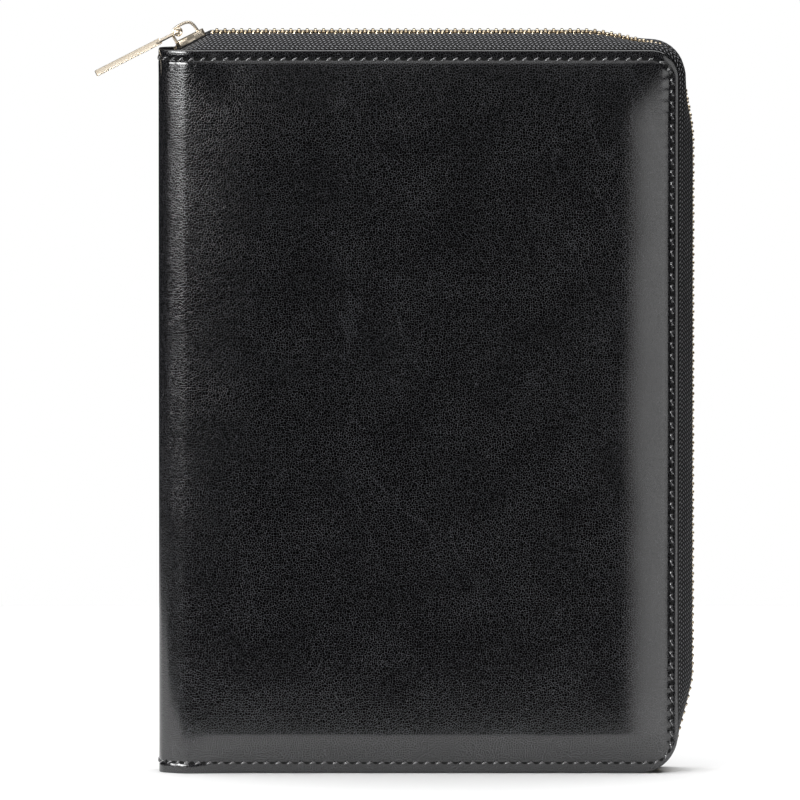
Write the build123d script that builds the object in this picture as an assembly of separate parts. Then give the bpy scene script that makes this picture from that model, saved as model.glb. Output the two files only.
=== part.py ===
from build123d import *
import math
import os

# A zip-around A5 case standing on its bottom edges, all sizes in mm.
# X runs from the spine's outer face to the fore-edge, the front faces -Y and Z is up.

# Case
CASE_WIDTH = 172.0
CASE_HEIGHT = 240.0
CASE_DEPTH = 28.0
CORNER_RADIUS = 9.0
SPINE_ROUND = 9.0
HINGE_GAP = 0.2

# Layers of a cover, from the outside in
LEATHER = 1.0
PAD_RISE = 2.0
FOAM_GAP = 0.1
BOARD = 1.5
TAPE = 0.6
LINING = 0.6
LINING_INSET = 1.0

# Padded crown: how far its three contours lie inside the cover's edge
MARGIN = 4.5
SHOULDER = 8.5
CROWN = 16.0
SHOULDER_SHARE = 0.65
FLARE_END = 26.0
BOARD_INSET = 9.5
BOARD_START = 12.0
BOARD_TURN = 4.0
MARGIN_TURN = 6.0
CROWN_TURN = 5.0
MARGIN_EASE = 0.3
CROWN_EASE = 0.4
FOAM_EASE = 0.6

# Spine inside
SPINE_BOARD = 1.4
SPINE_LINING_HALF = 9.4
SPINE_INSET = 4.0
LINING_GAP = 0.7

# Writing pad and pockets
PAD_START = 18.5
PAD_SIDE = 5.5
PAD_FOOT = 12.0
PAD_HEAD = 18.0
BACKBOARD = 0.85
SHEETS = 2.2
BINDING = 0.25
BINDING_HEIGHT = 12.0
SLIP = 0.1
PANEL = 0.6
SEAM = 3.0
PAD_EASE = 0.5
PAD_SHOW = 16.0
POCKET_START = 20.0
POCKET_SIDE = 8.0
POCKET_FOOT = 8.0
POCKET_HEAD = 64.0
POCKET_EASE = 0.3
CARD_SIDE = 22.0
CARD_FOOT = 22.0
CARD_HEAD = 72.0
CARD_STEP = 14.0
LOOP_RADIUS = 6.2
LOOP_WALL = 0.9
LOOP_HEIGHT = 22.0
LOOP_HEAD = 68.0
LOOP_TAB_HALF = 4.0

# Zipper chain: how far its middle stands beyond the cover's edge
CHAIN_START = 17.2
TOP_RISE = 4.8
SIDE_RISE = 4.0
BOTTOM_SINK = 2.0
CORNER_DIP = 3.9
DIP_REACH = 30.0
SINK_BEFORE = 28.0
SINK_AFTER = 10.0
TAPE_FLANGE = 6.0
TAPE_FLAT = 5.4
TAPE_EDGE = 1.6
TOOTH_PITCH = 2.72
TOOTH_LENGTH = 1.05
TOOTH_HALF = 1.2
TOOTH_LEG = 3.2
TOOTH_HEAD = 0.9
TOOTH_EASE = 0.1
TAIL_GAP = 0.2
TAIL_LENGTH = 18.0
FOLD_X = 5.4
FOLD_DROP = 3.0
WEB_BEND = 9.0
WEB_LAST = 9.4
FLANGE_BACK = 0.4

# Slider, in its own frame: length from nose (-) to rear (+), height from the chain's middle
SLIDER_X = 11.5
SLIDER_RISE = 2.2
SLIDER_TILT = 27.0
SLIDER_NOSE = -5.5
SLIDER_REAR = 4.6
SLIDER_NOSE_HALF = 5.0
SLIDER_REAR_HALF = 4.2
PLATE = 1.0
PLATE_GAP = 1.45
FLANGE = 0.8
SLIDER_TURN = 0.6
DIAMOND_HALF = 1.2
SLOT_HALF = 0.45
BRIDGE_WIDTH = 2.2
BRIDGE_WALL = 0.8
BRIDGE_TOP = 7.1
BRIDGE_KNEE = 5.4
BRIDGE_REAR = 3.4
BRIDGE_LEAN = 0.6
BRIDGE_DROP = 0.3
BRIDGE_TURN = 0.35
PIN_U = -3.0
PIN_W = 5.2
PIN_RADIUS = 0.6
PIN_EASE = 0.06
PIN_HALF = 2.9
ARM_IN = 1.9
ARM_OUT = 2.5
ARM_HALF = 1.1
BAR_START = -9.4
BAR_END = -33.6
BAR_WIDTH = 3.6
BAR_THICK = 2.0
BAR_BEVEL = 0.5
BAR_TIP = 0.6
RIVET_U = -10.8
RIVET_RADIUS = 0.5

# Levels: distance of each layer from the middle plane of the case
crown_level = CASE_DEPTH / 2
margin_level = crown_level - PAD_RISE
tape_outer = margin_level - LEATHER
tape_inner = tape_outer - TAPE
lining_inner = tape_inner - LINING
board_outer = tape_inner + BOARD
split_x = SPINE_ROUND * (1 - math.cos(math.pi / 4))
split_y = crown_level - split_x
pad_end = CASE_WIDTH - PAD_SIDE
pad_top = CASE_HEIGHT - PAD_HEAD
pocket_end = CASE_WIDTH - POCKET_SIDE
pocket_top = CASE_HEIGHT - POCKET_HEAD
loop_foot = CASE_HEIGHT - LOOP_HEAD - LOOP_HEIGHT
ramp_slope = math.tan(math.radians(SLIDER_TILT))
ramp_top = SLIDER_X + (TOP_RISE - SLIDER_RISE) / ramp_slope


def block(x0, x1, y0, y1, z0, z1):
    """A box between two corners."""
    return Pos((x0 + x1) / 2, (y0 + y1) / 2, (z0 + z1) / 2) * Box(x1 - x0, y1 - y0, z1 - z0)


def back(shape):
    """The same piece on the other side of the middle plane."""
    return mirror(shape, about=Plane.XZ)


def contour(level, inset, left, end_inset, radius):
    """A three-sided inset of the cover's outline that widens to the spine, in the plane y = -level."""
    right = CASE_WIDTH - inset
    top = CASE_HEIGHT - inset
    bow = radius * (1 - math.cos(math.pi / 4))
    low = [(left, end_inset), (FLARE_END, inset), (right - radius, inset)]
    low_bow = (right - bow, inset + bow)
    side = [(right, inset + radius), (right, top - radius)]
    top_bow = (right - bow, top - bow)
    high = [(right - radius, top), (FLARE_END, top), (left, CASE_HEIGHT - end_inset)]

    def at(point):
        return (point[0], -level, point[1])

    edges = [
        Line(at(low[0]), at(low[1])),
        Line(at(low[1]), at(low[2])),
        ThreePointArc(at(low[2]), at(low_bow), at(side[0])),
        Line(at(side[0]), at(side[1])),
        ThreePointArc(at(side[1]), at(top_bow), at(high[0])),
        Line(at(high[0]), at(high[1])),
        Line(at(high[1]), at(high[2])),
        Line(at(high[2]), at(low[0])),
    ]
    return Wire([edge.edge() for edge in edges])


def panel(x0, x1, z0, z1, level0, level1, radius):
    """A flat sheet parallel to the covers, with round corners at the fore-edge."""
    sheet = block(x0, x1, -level1, -level0, z0, z1)
    corners = sheet.edges().filter_by(Axis.Y).group_by(Axis.X)[-1]
    return fillet(corners, radius)


def round_sector(start, end):
    """The part of the spine rounding between two angles, gap left at the hinge line."""
    ring = Circle(SPINE_ROUND) - Circle(SPINE_ROUND - LEATHER)
    reach = 2 * SPINE_ROUND
    middle = (start + end) / 2
    turns = [math.radians(angle) for angle in (start, middle, end)]
    rays = [(reach * math.cos(turn), reach * math.sin(turn)) for turn in turns]
    sector = ring & make_face(Polyline((0, 0), *rays, close=True))
    return Pos(SPINE_ROUND, SPINE_ROUND - crown_level, 0) * extrude(sector, CASE_HEIGHT)


def cover_leather():
    """Outer leather of the front cover: stitched margin, padded crown and half of the spine rounding."""
    rise = margin_level + SHOULDER_SHARE * PAD_RISE
    left = SPINE_ROUND
    margin = panel(left, CASE_WIDTH, 0, CASE_HEIGHT, tape_outer, margin_level, CORNER_RADIUS)
    outer = Solid.make_loft(
        [
            contour(margin_level - LEATHER / 2, MARGIN, left, 0, MARGIN_TURN),
            contour(margin_level, MARGIN, left, 0, MARGIN_TURN),
            contour(rise, SHOULDER, left, 0, CROWN_TURN),
            contour(crown_level, CROWN, left, 0, CROWN_TURN),
        ],
        ruled=True,
    )
    inner = Solid.make_loft(
        [
            contour(tape_outer - FOAM_GAP, MARGIN + MARGIN_EASE, left, LEATHER, MARGIN_TURN),
            contour(rise - LEATHER, SHOULDER + CROWN_EASE, left, LEATHER, CROWN_TURN),
            contour(crown_level - LEATHER, CROWN + CROWN_EASE, left, LEATHER, CROWN_TURN),
        ],
        ruled=True,
    )
    gap = math.degrees(HINGE_GAP / 2 / SPINE_ROUND)
    return margin + outer - inner + round_sector(225 + gap, 270)


def cover_foam():
    """Soft pad between the board and the leather, with the crown's own slope."""
    rise = margin_level + SHOULDER_SHARE * PAD_RISE - LEATHER
    left = BOARD_START
    top = CROWN + FOAM_EASE
    return Solid.make_loft(
        [
            contour(board_outer, BOARD_INSET, left, BOARD_INSET, BOARD_TURN),
            contour(rise, BOARD_INSET, left, BOARD_INSET, BOARD_TURN),
            contour(crown_level - LEATHER - FOAM_GAP, top, left, top, BOARD_TURN),
        ],
        ruled=True,
    )


def tray(x0, x1, z0, z1, level, ease):
    """An open-topped pocket: a panel with a seam on three sides, lying on the sheet at this level."""
    face = block(x0, x1, -(level - ease), -(level - ease - PANEL), z0, z1)
    seams = [
        block(x0, x0 + SEAM, -level, -(level - ease), z0, z1),
        block(x1 - SEAM, x1, -level, -(level - ease), z0, z1),
        block(x0, x1, -level, -(level - ease), z0, z0 + SEAM),
    ]
    return face + seams


def smooth(t):
    """Even start and stop between 0 and 1."""
    t = min(max(t, 0.0), 1.0)
    return t * t * (3 - 2 * t)


top_run = CASE_WIDTH - CORNER_RADIUS - CHAIN_START
turn_run = CORNER_RADIUS * math.pi / 2
side_run = CASE_HEIGHT - 2 * CORNER_RADIUS
upper_bend = top_run + turn_run / 2
lower_bend = top_run + turn_run + side_run
chain_run = lower_bend + turn_run + top_run


def edge_at(s):
    """Point of the cover's edge, and its outward direction, at a distance from the top end of the zip."""
    right = CASE_WIDTH - CORNER_RADIUS
    if s <= top_run:
        return (CHAIN_START + s, CASE_HEIGHT), (0, 1)
    if s < top_run + turn_run:
        angle = math.pi / 2 - (s - top_run) / CORNER_RADIUS
        way = (math.cos(angle), math.sin(angle))
        centre = CASE_HEIGHT - CORNER_RADIUS
        return (right + CORNER_RADIUS * way[0], centre + CORNER_RADIUS * way[1]), way
    if s <= lower_bend:
        return (CASE_WIDTH, CASE_HEIGHT - CORNER_RADIUS - (s - top_run - turn_run)), (1, 0)
    if s < lower_bend + turn_run:
        angle = -(s - lower_bend) / CORNER_RADIUS
        way = (math.cos(angle), math.sin(angle))
        return (right + CORNER_RADIUS * way[0], CORNER_RADIUS + CORNER_RADIUS * way[1]), way
    return (right - (s - lower_bend - turn_run), 0), (0, -1)


def chain_rise(s):
    """How far the chain's middle stands beyond the edge: it cuts the upper corner and sinks in below."""
    rise = TOP_RISE + (SIDE_RISE - TOP_RISE) * smooth((s - upper_bend + DIP_REACH) / (2 * DIP_REACH))
    dip = CORNER_DIP * (1 + math.cos(math.pi * min(abs(s - upper_bend) / DIP_REACH, 1))) / 2
    sink = (SIDE_RISE + BOTTOM_SINK) * smooth((s - lower_bend + SINK_BEFORE) / (SINK_BEFORE + SINK_AFTER))
    return rise - dip - sink


def chain_at(s):
    """Point of the chain's middle line."""
    point, way = edge_at(s)
    rise = chain_rise(s)
    return (point[0] + way[0] * rise, point[1] + way[1] * rise)


def section(point, way, corners):
    """A closed wire through (outward distance, level) corners at one place of the cover's edge."""
    places = [(point[0] + way[0] * n, -q, point[1] + way[1] * n) for n, q in corners]
    return Wire.make_polygon([Vector(*p) for p in places], close=True)


def tape_corners(rise):
    """Tape section: flange under the leather, slope, and the flat edge that carries the teeth."""
    half = TAPE / 2
    return [
        (-TAPE_FLANGE, tape_inner),
        (-TAPE_FLANGE, tape_outer),
        (0, tape_outer),
        (rise + half, TAPE_FLAT),
        (rise + half, TAPE_EDGE),
        (rise - half, TAPE_EDGE),
        (rise - half, TAPE_FLAT),
        (-FLANGE_BACK, tape_inner),
    ]


def web_corners(rise, level):
    """Tape section beside the slider's parking place, without the toothed edge."""
    half = TAPE / 2
    return [
        (-TAPE_FLANGE, tape_inner),
        (-TAPE_FLANGE, tape_outer),
        (0, tape_outer),
        (rise + half, level),
        (rise - half, level),
        (-FLANGE_BACK, tape_inner),
    ]


def ramp_rise(x):
    """Height of the sloping end of the chain above the cover's top edge."""
    return min(SLIDER_RISE + (x - SLIDER_X) * ramp_slope, TOP_RISE)


def web_end(edge_z, way, rise_at):
    """Tape between the parking place and the spine, tapering into the corner."""
    share = (tape_outer - WEB_LAST) / (tape_outer - TAPE_FLAT)
    stops = [
        (CHAIN_START, rise_at(CHAIN_START), TAPE_FLAT),
        (ramp_top, rise_at(ramp_top), TAPE_FLAT),
        (WEB_BEND, rise_at(WEB_BEND), TAPE_FLAT + TAIL_GAP),
        (FOLD_X, rise_at(FOLD_X) * share, WEB_LAST),
    ]
    wires = [section((x, edge_z), way, web_corners(rise, level)) for x, rise, level in stops]
    return Solid.make_loft(wires, ruled=True)


def cover_tape():
    """Front tape of the zip, from the parking place round three sides to the bottom end."""
    upper = [upper_bend - DIP_REACH + k * DIP_REACH / 12 for k in range(25)]
    span = SINK_BEFORE + turn_run
    lower = [lower_bend - SINK_BEFORE + k * span / 17 for k in range(18)]
    wires = []
    for s in [0.0] + upper + lower + [chain_run]:
        point, way = edge_at(s)
        wires.append(section(point, way, tape_corners(chain_rise(s))))
    main = Solid.make_loft(wires, ruled=True)
    top = web_end(CASE_HEIGHT, (0, 1), ramp_rise)
    bottom = web_end(0, (0, -1), lambda x: -BOTTOM_SINK)
    return main + top + bottom


def clamp(head):
    """A metal clamp on the edge of the front tape, along X, with its head up to this level."""
    slot = TAPE / 2 + TOOTH_EASE
    deep = -(TAPE_EDGE - TOOTH_EASE)
    outline = Polyline(
        (-TOOTH_LEG, TOOTH_HALF),
        (head, TOOTH_HALF),
        (head, -TOOTH_HALF),
        (-TOOTH_LEG, -TOOTH_HALF),
        (-TOOTH_LEG, -slot),
        (deep, -slot),
        (deep, slot),
        (-TOOTH_LEG, slot),
        close=True,
    )
    return extrude(Plane.YZ * make_face(outline), TOOTH_LENGTH / 2, both=True)


def tooth_rows():
    """Places of the teeth, half a pitch apart from row to row, on both tapes."""
    rows = ([], [])
    step = 0.02
    travelled = 0.0
    last = chain_at(0)
    wanted = TOOTH_PITCH / 4
    s = step
    while s < chain_run:
        here = chain_at(s)
        travelled += math.dist(last, here)
        last = here
        if travelled >= wanted:
            ahead = chain_at(s + 0.2)
            behind = chain_at(s - 0.2)
            along = Vector(ahead[0] - behind[0], 0, ahead[1] - behind[1])
            outward = along.cross(Vector(0, 1, 0))
            plane = Plane((here[0], 0, here[1]), x_dir=along, z_dir=outward)
            row = rows[round(wanted / (TOOTH_PITCH / 2) - 0.5) % 2]
            row.append(plane.location)
            wanted += TOOTH_PITCH / 2
        s += step
    return rows


def strip(points, half, y0, y1):
    """A folded band of constant thickness along points in the XZ plane."""
    left = []
    right = []
    for i, point in enumerate(points):
        before = Vector(*points[max(i - 1, 0)])
        here = Vector(*point)
        after = Vector(*points[min(i + 1, len(points) - 1)])
        ways = [w.normalized() for w in (here - before, after - here) if w.length > 0]
        normals = [Vector(-w.Y, w.X) for w in ways]
        bisector = (normals[0] + normals[-1]).normalized()
        reach = half / bisector.dot(normals[0])
        left.append(here + bisector * reach)
        right.append(here - bisector * reach)
    outline = Polyline(*[(p.X, p.Y) for p in left + right[::-1]], close=True)
    band = extrude(Plane.XZ * make_face(outline), y1 - y0)
    return Pos(0, y1, 0) * band


def arch():
    """Side outline of the slider's bridge, swept over its width."""
    plate_top = PLATE_GAP + PLATE
    wall = BRIDGE_WALL
    crest = BRIDGE_TOP - BRIDGE_DROP
    front = SLIDER_NOSE + 2 * BRIDGE_LEAN
    rear_knee = BRIDGE_REAR - BRIDGE_LEAN
    rear_crest = rear_knee - 2 * BRIDGE_LEAN
    outer = [
        (SLIDER_NOSE, plate_top),
        (SLIDER_NOSE, BRIDGE_KNEE),
        (front, crest),
        (rear_crest, BRIDGE_TOP),
        (rear_knee, BRIDGE_KNEE),
        (BRIDGE_REAR, plate_top),
    ]
    inner = [
        (BRIDGE_REAR - wall, plate_top),
        (rear_knee - wall, BRIDGE_KNEE - wall / 4),
        (rear_crest - wall / 2, BRIDGE_TOP - wall),
        (front + wall / 3, crest - wall),
        (SLIDER_NOSE + wall, BRIDGE_KNEE - wall / 4),
        (SLIDER_NOSE + wall, plate_top),
    ]
    face = make_face(Polyline(*outer, *inner, close=True))
    bends = [v for v in face.vertices() if v.Y > plate_top + 1]
    return extrude(Plane.XZ * fillet(bends, BRIDGE_TURN), BRIDGE_WIDTH / 2, both=True)


def slider_shell():
    """Slider plates with their side flanges and the diamond that joins them at the nose."""
    half = PLATE_GAP + PLATE
    nose = SLIDER_NOSE_HALF
    rear = SLIDER_REAR_HALF
    cut = DIAMOND_HALF
    side = [
        (SLIDER_NOSE, SLIDER_NOSE_HALF - 2),
        (SLIDER_NOSE + cut, nose),
        (-cut, nose),
        (cut, rear),
        (SLIDER_REAR, rear),
    ]
    outline = side + [(u, -v) for u, v in side[::-1]]
    inset = [(u, v - FLANGE) for u, v in side[1:]]
    inset[0] = (SLIDER_NOSE - 1, nose - FLANGE)
    inset[-1] = (SLIDER_REAR + 1, rear - FLANGE)
    channel = inset + [(u, -v) for u, v in inset[::-1]]
    whole = extrude(make_face(Polyline(*outline, close=True)), half, both=True)
    whole = fillet(whole.edges().filter_by(Axis.Z), SLIDER_TURN)
    whole -= extrude(make_face(Polyline(*channel, close=True)), PLATE_GAP, both=True)
    whole -= block(SLIDER_NOSE - 1, SLIDER_REAR + 1, -2 * nose, 2 * nose, -SLOT_HALF, SLOT_HALF)
    wide = SLIDER_NOSE + cut
    diamond = Polyline(
        (SLIDER_NOSE + cut / 4, cut / 2),
        (wide, cut),
        (wide + 2 * cut, 0),
        (wide, -cut),
        (SLIDER_NOSE + cut / 4, -cut / 2),
        close=True,
    )
    return whole + extrude(make_face(diamond), PLATE_GAP, both=True)


def along_y(radius, half, u, w):
    """A pin across the slider."""
    return Pos(u, 0, w) * Rot(90, 0, 0) * Cylinder(radius, 2 * half)


def link():
    """Two arms from the pin to the bar, joined by the rivet that goes through the bar."""
    reach = RIVET_U - RIVET_RADIUS - PIN_EASE
    arm = block(reach, PIN_U, -ARM_OUT, -ARM_IN, PIN_W - ARM_HALF, PIN_W + ARM_HALF)
    eye = Pos(PIN_U, -(ARM_IN + ARM_OUT) / 2, PIN_W) * Rot(90, 0, 0) * Cylinder(ARM_HALF, ARM_OUT - ARM_IN)
    arms = arm + eye
    arms += back(arms)
    arms -= along_y(PIN_RADIUS + PIN_EASE, PIN_HALF, PIN_U, PIN_W)
    return arms + along_y(RIVET_RADIUS, ARM_OUT, RIVET_U, PIN_W)


def bar():
    """Long slim pull bar with bevelled long edges and a rounded tip."""
    half = BAR_WIDTH / 2
    body = block(BAR_END, BAR_START, -half, half, PIN_W - BAR_THICK / 2, PIN_W + BAR_THICK / 2)
    body = chamfer(body.edges().filter_by(Axis.X).group_by(Axis.Z)[-1], BAR_BEVEL)
    tip = body.faces().sort_by(Axis.X)[0].edges()
    body = fillet(tip.filter_by(Axis.Y), BAR_TIP)
    return body - along_y(RIVET_RADIUS + PIN_EASE, half, RIVET_U, PIN_W)


front_leather = cover_leather()
front_foam = cover_foam()
front_board = panel(
    BOARD_START,
    CASE_WIDTH - BOARD_INSET,
    BOARD_INSET,
    CASE_HEIGHT - BOARD_INSET,
    tape_inner,
    board_outer,
    BOARD_TURN,
)
lining_start = crown_level - lining_inner + LINING_GAP
front_lining = panel(
    lining_start,
    CASE_WIDTH - LINING_INSET,
    LINING_INSET,
    CASE_HEIGHT - LINING_INSET,
    lining_inner,
    tape_inner,
    CORNER_RADIUS - LINING_INSET,
)

# Pockets inside the front cover, each card pocket lying on the one behind it
document_pocket = tray(POCKET_START, pocket_end, POCKET_FOOT, pocket_top, lining_inner, POCKET_EASE)
card_level = lining_inner - POCKET_EASE - PANEL
card_pockets = []
for index in range(3):
    level = card_level - index * (POCKET_EASE + PANEL)
    top = pocket_top - CARD_HEAD - index * CARD_STEP
    left = POCKET_START + CARD_SIDE
    card_pockets.append(tray(left, pocket_end - CARD_SIDE, CARD_FOOT, top, level, POCKET_EASE))

# Pad pocket and writing pad inside the back cover; the pocket's panel passes behind the sheets
pocket_room = BINDING + BACKBOARD + 2 * SLIP
pad_pocket = back(
    tray(
        PAD_START - SEAM - PAD_EASE,
        pad_end + SEAM + PAD_EASE,
        PAD_FOOT - SEAM - SLIP,
        pad_top - PAD_SHOW,
        lining_inner,
        pocket_room,
    )
)
board_back = lining_inner - SLIP / 2 - BINDING
board_front = board_back - BACKBOARD
sheets_back = lining_inner - pocket_room - PANEL - SLIP
sheets_front = sheets_back - SHEETS
pad_backboard = block(PAD_START, pad_end, board_front, board_back, PAD_FOOT, pad_top)
pad_sheets = block(PAD_START, pad_end, sheets_front, sheets_back, PAD_FOOT, pad_top)
pad_binding = block(
    PAD_START,
    pad_end,
    sheets_front - BINDING,
    board_back + BINDING,
    pad_top - BINDING_HEIGHT,
    pad_top + BINDING,
)
pad_binding -= pad_backboard
pad_binding -= pad_sheets

# Spine
flat_half = crown_level - SPINE_ROUND
lining_face = LEATHER + SPINE_BOARD + LINING
spine_half = round_sector(180, 225 - math.degrees(HINGE_GAP / 2 / SPINE_ROUND))
spine_leather = block(0, LEATHER, -flat_half, flat_half, 0, CASE_HEIGHT) + spine_half + back(spine_half)
spine_board = block(
    LEATHER, LEATHER + SPINE_BOARD, -flat_half, flat_half, SPINE_INSET, CASE_HEIGHT - SPINE_INSET
)
spine_lining = block(
    lining_face - LINING,
    lining_face,
    -SPINE_LINING_HALF,
    SPINE_LINING_HALF,
    LINING_INSET,
    CASE_HEIGHT - LINING_INSET,
)
loop_ring = extrude(Circle(LOOP_RADIUS) - Circle(LOOP_RADIUS - LOOP_WALL), LOOP_HEIGHT)
pen_loop = Pos(lining_face + LOOP_RADIUS, 0, loop_foot) * loop_ring
pen_tab = block(
    lining_face,
    lining_face + LOOP_WALL,
    -LOOP_TAB_HALF,
    LOOP_TAB_HALF,
    loop_foot,
    loop_foot + LOOP_HEIGHT,
)
pen_loop += pen_tab

# Zipper
front_tape = cover_tape()
front_places, back_places = tooth_rows()
front_tooth = clamp(TOOTH_HEAD)
back_tooth = back(front_tooth)
front_teeth = [place * front_tooth for place in front_places]
back_teeth = [place * back_tooth for place in back_places]

# Tape ends: the top one slopes down through the slider, both are sewn to the spine lining
tail_x = lining_face + TAPE / 2
top_tail = [
    (CHAIN_START - TAIL_GAP, CASE_HEIGHT + TOP_RISE),
    (ramp_top, CASE_HEIGHT + TOP_RISE),
    (FOLD_X, CASE_HEIGHT + ramp_rise(FOLD_X)),
    (tail_x, CASE_HEIGHT + ramp_rise(FOLD_X) - FOLD_DROP),
    (tail_x, CASE_HEIGHT - TAIL_LENGTH),
]
bottom_tail = [
    (CHAIN_START - TAIL_GAP, BOTTOM_SINK),
    (FOLD_X + BOTTOM_SINK, BOTTOM_SINK),
    (tail_x, 2 * FOLD_DROP),
    (tail_x, BOTTOM_SINK + TAIL_LENGTH),
]
tail_edge = TAPE_FLAT - TAIL_GAP
tail_top = strip(top_tail, TAPE / 2, -tail_edge, -TAPE_EDGE)
tail_bottom = strip(bottom_tail, TAPE / 2, -tail_edge, -TAPE_EDGE)

slider_place = Pos(SLIDER_X, 0, CASE_HEIGHT + SLIDER_RISE) * Rot(0, -SLIDER_TILT, 0)
bottom_place = Pos(SLIDER_X, 0, BOTTOM_SINK)
tail_tooth = SLIDER_REAR - TOOTH_LENGTH / 2 - TAIL_GAP
tail_teeth = []
for place in (slider_place, bottom_place):
    for index in range(2):
        tail_teeth.append(place * Pos(tail_tooth - index * TOOTH_PITCH, 0, 0) * front_tooth)
        tail_teeth.append(place * Pos(tail_tooth - (index + 0.5) * TOOTH_PITCH, 0, 0) * back_tooth)
top_stop = slider_place * Pos(SLIDER_NOSE - TAIL_GAP - TOOTH_LENGTH / 2, 0, 0) * clamp(-TOOTH_HEAD)
bottom_stop = bottom_place * Pos(tail_tooth - 2.4 * TOOTH_PITCH, 0, 0) * (clamp(0) + back(clamp(0)))
end_stops = [top_stop, back(top_stop), bottom_stop]

slider_body = slider_place * slider_shell()
slider_bridge = slider_place * arch()
pull_pin = slider_place * along_y(PIN_RADIUS, PIN_HALF, PIN_U, PIN_W)
pull_link = slider_place * link()
pull_bar = slider_place * bar()

pieces = {
    "front_leather": [front_leather],
    "front_foam": [front_foam],
    "front_board": [front_board],
    "front_lining": [front_lining],
    "back_leather": [back(front_leather)],
    "back_foam": [back(front_foam)],
    "back_board": [back(front_board)],
    "back_lining": [back(front_lining)],
    "spine_leather": [spine_leather],
    "spine_board": [spine_board],
    "spine_lining": [spine_lining],
    "document_pocket": [document_pocket],
    "card_pocket_upper": [card_pockets[0]],
    "card_pocket_middle": [card_pockets[1]],
    "card_pocket_lower": [card_pockets[2]],
    "pad_pocket": [pad_pocket],
    "pad_backboard": [pad_backboard],
    "pad_sheets": [pad_sheets],
    "pad_binding": [pad_binding],
    "pen_loop": [pen_loop],
    "zipper_tape_front": [front_tape],
    "zipper_tape_back": [back(front_tape)],
    "zipper_teeth_front": front_teeth,
    "zipper_teeth_back": back_teeth,
    "zipper_tail_top": [tail_top, back(tail_top)],
    "zipper_tail_bottom": [tail_bottom, back(tail_bottom)],
    "zipper_tail_teeth": tail_teeth,
    "zipper_end_stops": end_stops,
    "slider_body": [slider_body],
    "slider_bridge": [slider_bridge],
    "pull_pin": [pull_pin],
    "pull_link": [pull_link],
    "pull_bar": [pull_bar],
}

# The origin is the middle of the bottom of the whole part's box
everything = [solid for group in pieces.values() for shape in group for solid in shape.solids()]
box = Compound(everything).bounding_box()
home = Pos(-box.center().X, -box.center().Y, -box.min.Z)

os.makedirs("parts", exist_ok=True)
for name, shapes in pieces.items():
    solids = [home * solid for shape in shapes for solid in shape.solids()]
    whole = solids[0] if len(solids) == 1 else Compound(solids)
    export_step(whole, f"parts/{name}.step")

pin = slider_place * Pos(PIN_U, 0, PIN_W)
print("shift", -box.center().X, -box.center().Y, -box.min.Z)
print("box", box.size)
print("hinge", split_x - box.center().X, split_y)
print("pin", pin.position.X - box.center().X, pin.position.Z - box.min.Z)
print("teeth", len(front_teeth), len(back_teeth))
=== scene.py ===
"""A zip-around padfolio in black leatherette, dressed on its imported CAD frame.

Case coordinates are in millimetres: x runs from the spine's outer face to the fore-edge,
the front cover faces -y and z is up. `world` turns them into the frame's metres.
"""
import logging
import math
from dataclasses import dataclass
from enum import Enum

import bmesh
import bpy
import numpy as np
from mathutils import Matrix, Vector, noise

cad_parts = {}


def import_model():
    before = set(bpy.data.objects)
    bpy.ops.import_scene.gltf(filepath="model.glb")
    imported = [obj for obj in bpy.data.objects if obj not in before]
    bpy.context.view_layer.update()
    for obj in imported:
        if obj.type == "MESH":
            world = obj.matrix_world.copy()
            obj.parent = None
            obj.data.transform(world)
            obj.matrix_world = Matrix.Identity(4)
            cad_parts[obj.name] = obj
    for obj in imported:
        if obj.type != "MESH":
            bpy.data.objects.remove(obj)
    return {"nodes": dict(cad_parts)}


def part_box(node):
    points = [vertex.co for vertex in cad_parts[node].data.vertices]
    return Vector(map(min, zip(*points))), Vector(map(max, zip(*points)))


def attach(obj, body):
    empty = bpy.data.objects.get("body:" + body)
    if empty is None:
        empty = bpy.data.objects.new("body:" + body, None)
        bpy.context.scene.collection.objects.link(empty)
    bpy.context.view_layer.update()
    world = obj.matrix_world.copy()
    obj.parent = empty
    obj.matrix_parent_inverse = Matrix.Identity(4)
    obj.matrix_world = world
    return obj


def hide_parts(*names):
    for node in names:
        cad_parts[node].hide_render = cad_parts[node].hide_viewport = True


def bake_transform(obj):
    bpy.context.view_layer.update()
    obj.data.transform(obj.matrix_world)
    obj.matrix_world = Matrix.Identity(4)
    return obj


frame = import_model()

MM = 0.001
LOG = logging.getLogger("padfolio")
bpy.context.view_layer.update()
SPINE_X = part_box("spine_leather")[0].x / MM


class Side(Enum):
    """Cover that a piece belongs to; the value is the sign of y."""

    FRONT = -1
    BACK = 1

    @property
    def body(self) -> str:
        """Name of the CAD body of this cover."""
        return "front_cover" if self is Side.FRONT else "back_cover"

    @property
    def tag(self) -> str:
        """First part of the names of this cover's nodes."""
        return "front" if self is Side.FRONT else "back"


def world(points: np.ndarray) -> np.ndarray:
    """Case millimetres to frame metres.

    Args:
        points: array of any shape whose last axis is x, y, z.
    Returns:
        The same points in the frame.
    """
    moved = np.array(points, float)
    moved[..., 0] += SPINE_X
    return moved * MM


def linear(code: str) -> tuple[float, float, float, float]:
    """An sRGB hex colour as the linear values that shaders take.

    Args:
        code: colour such as "#1a2b3c".
    Returns:
        Linear red, green, blue and alpha.
    """
    parts = [int(code[i : i + 2], 16) / 255 for i in (1, 3, 5)]
    return (*[p / 12.92 if p <= 0.04045 else ((p + 0.055) / 1.055) ** 2.4 for p in parts], 1.0)


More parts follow.
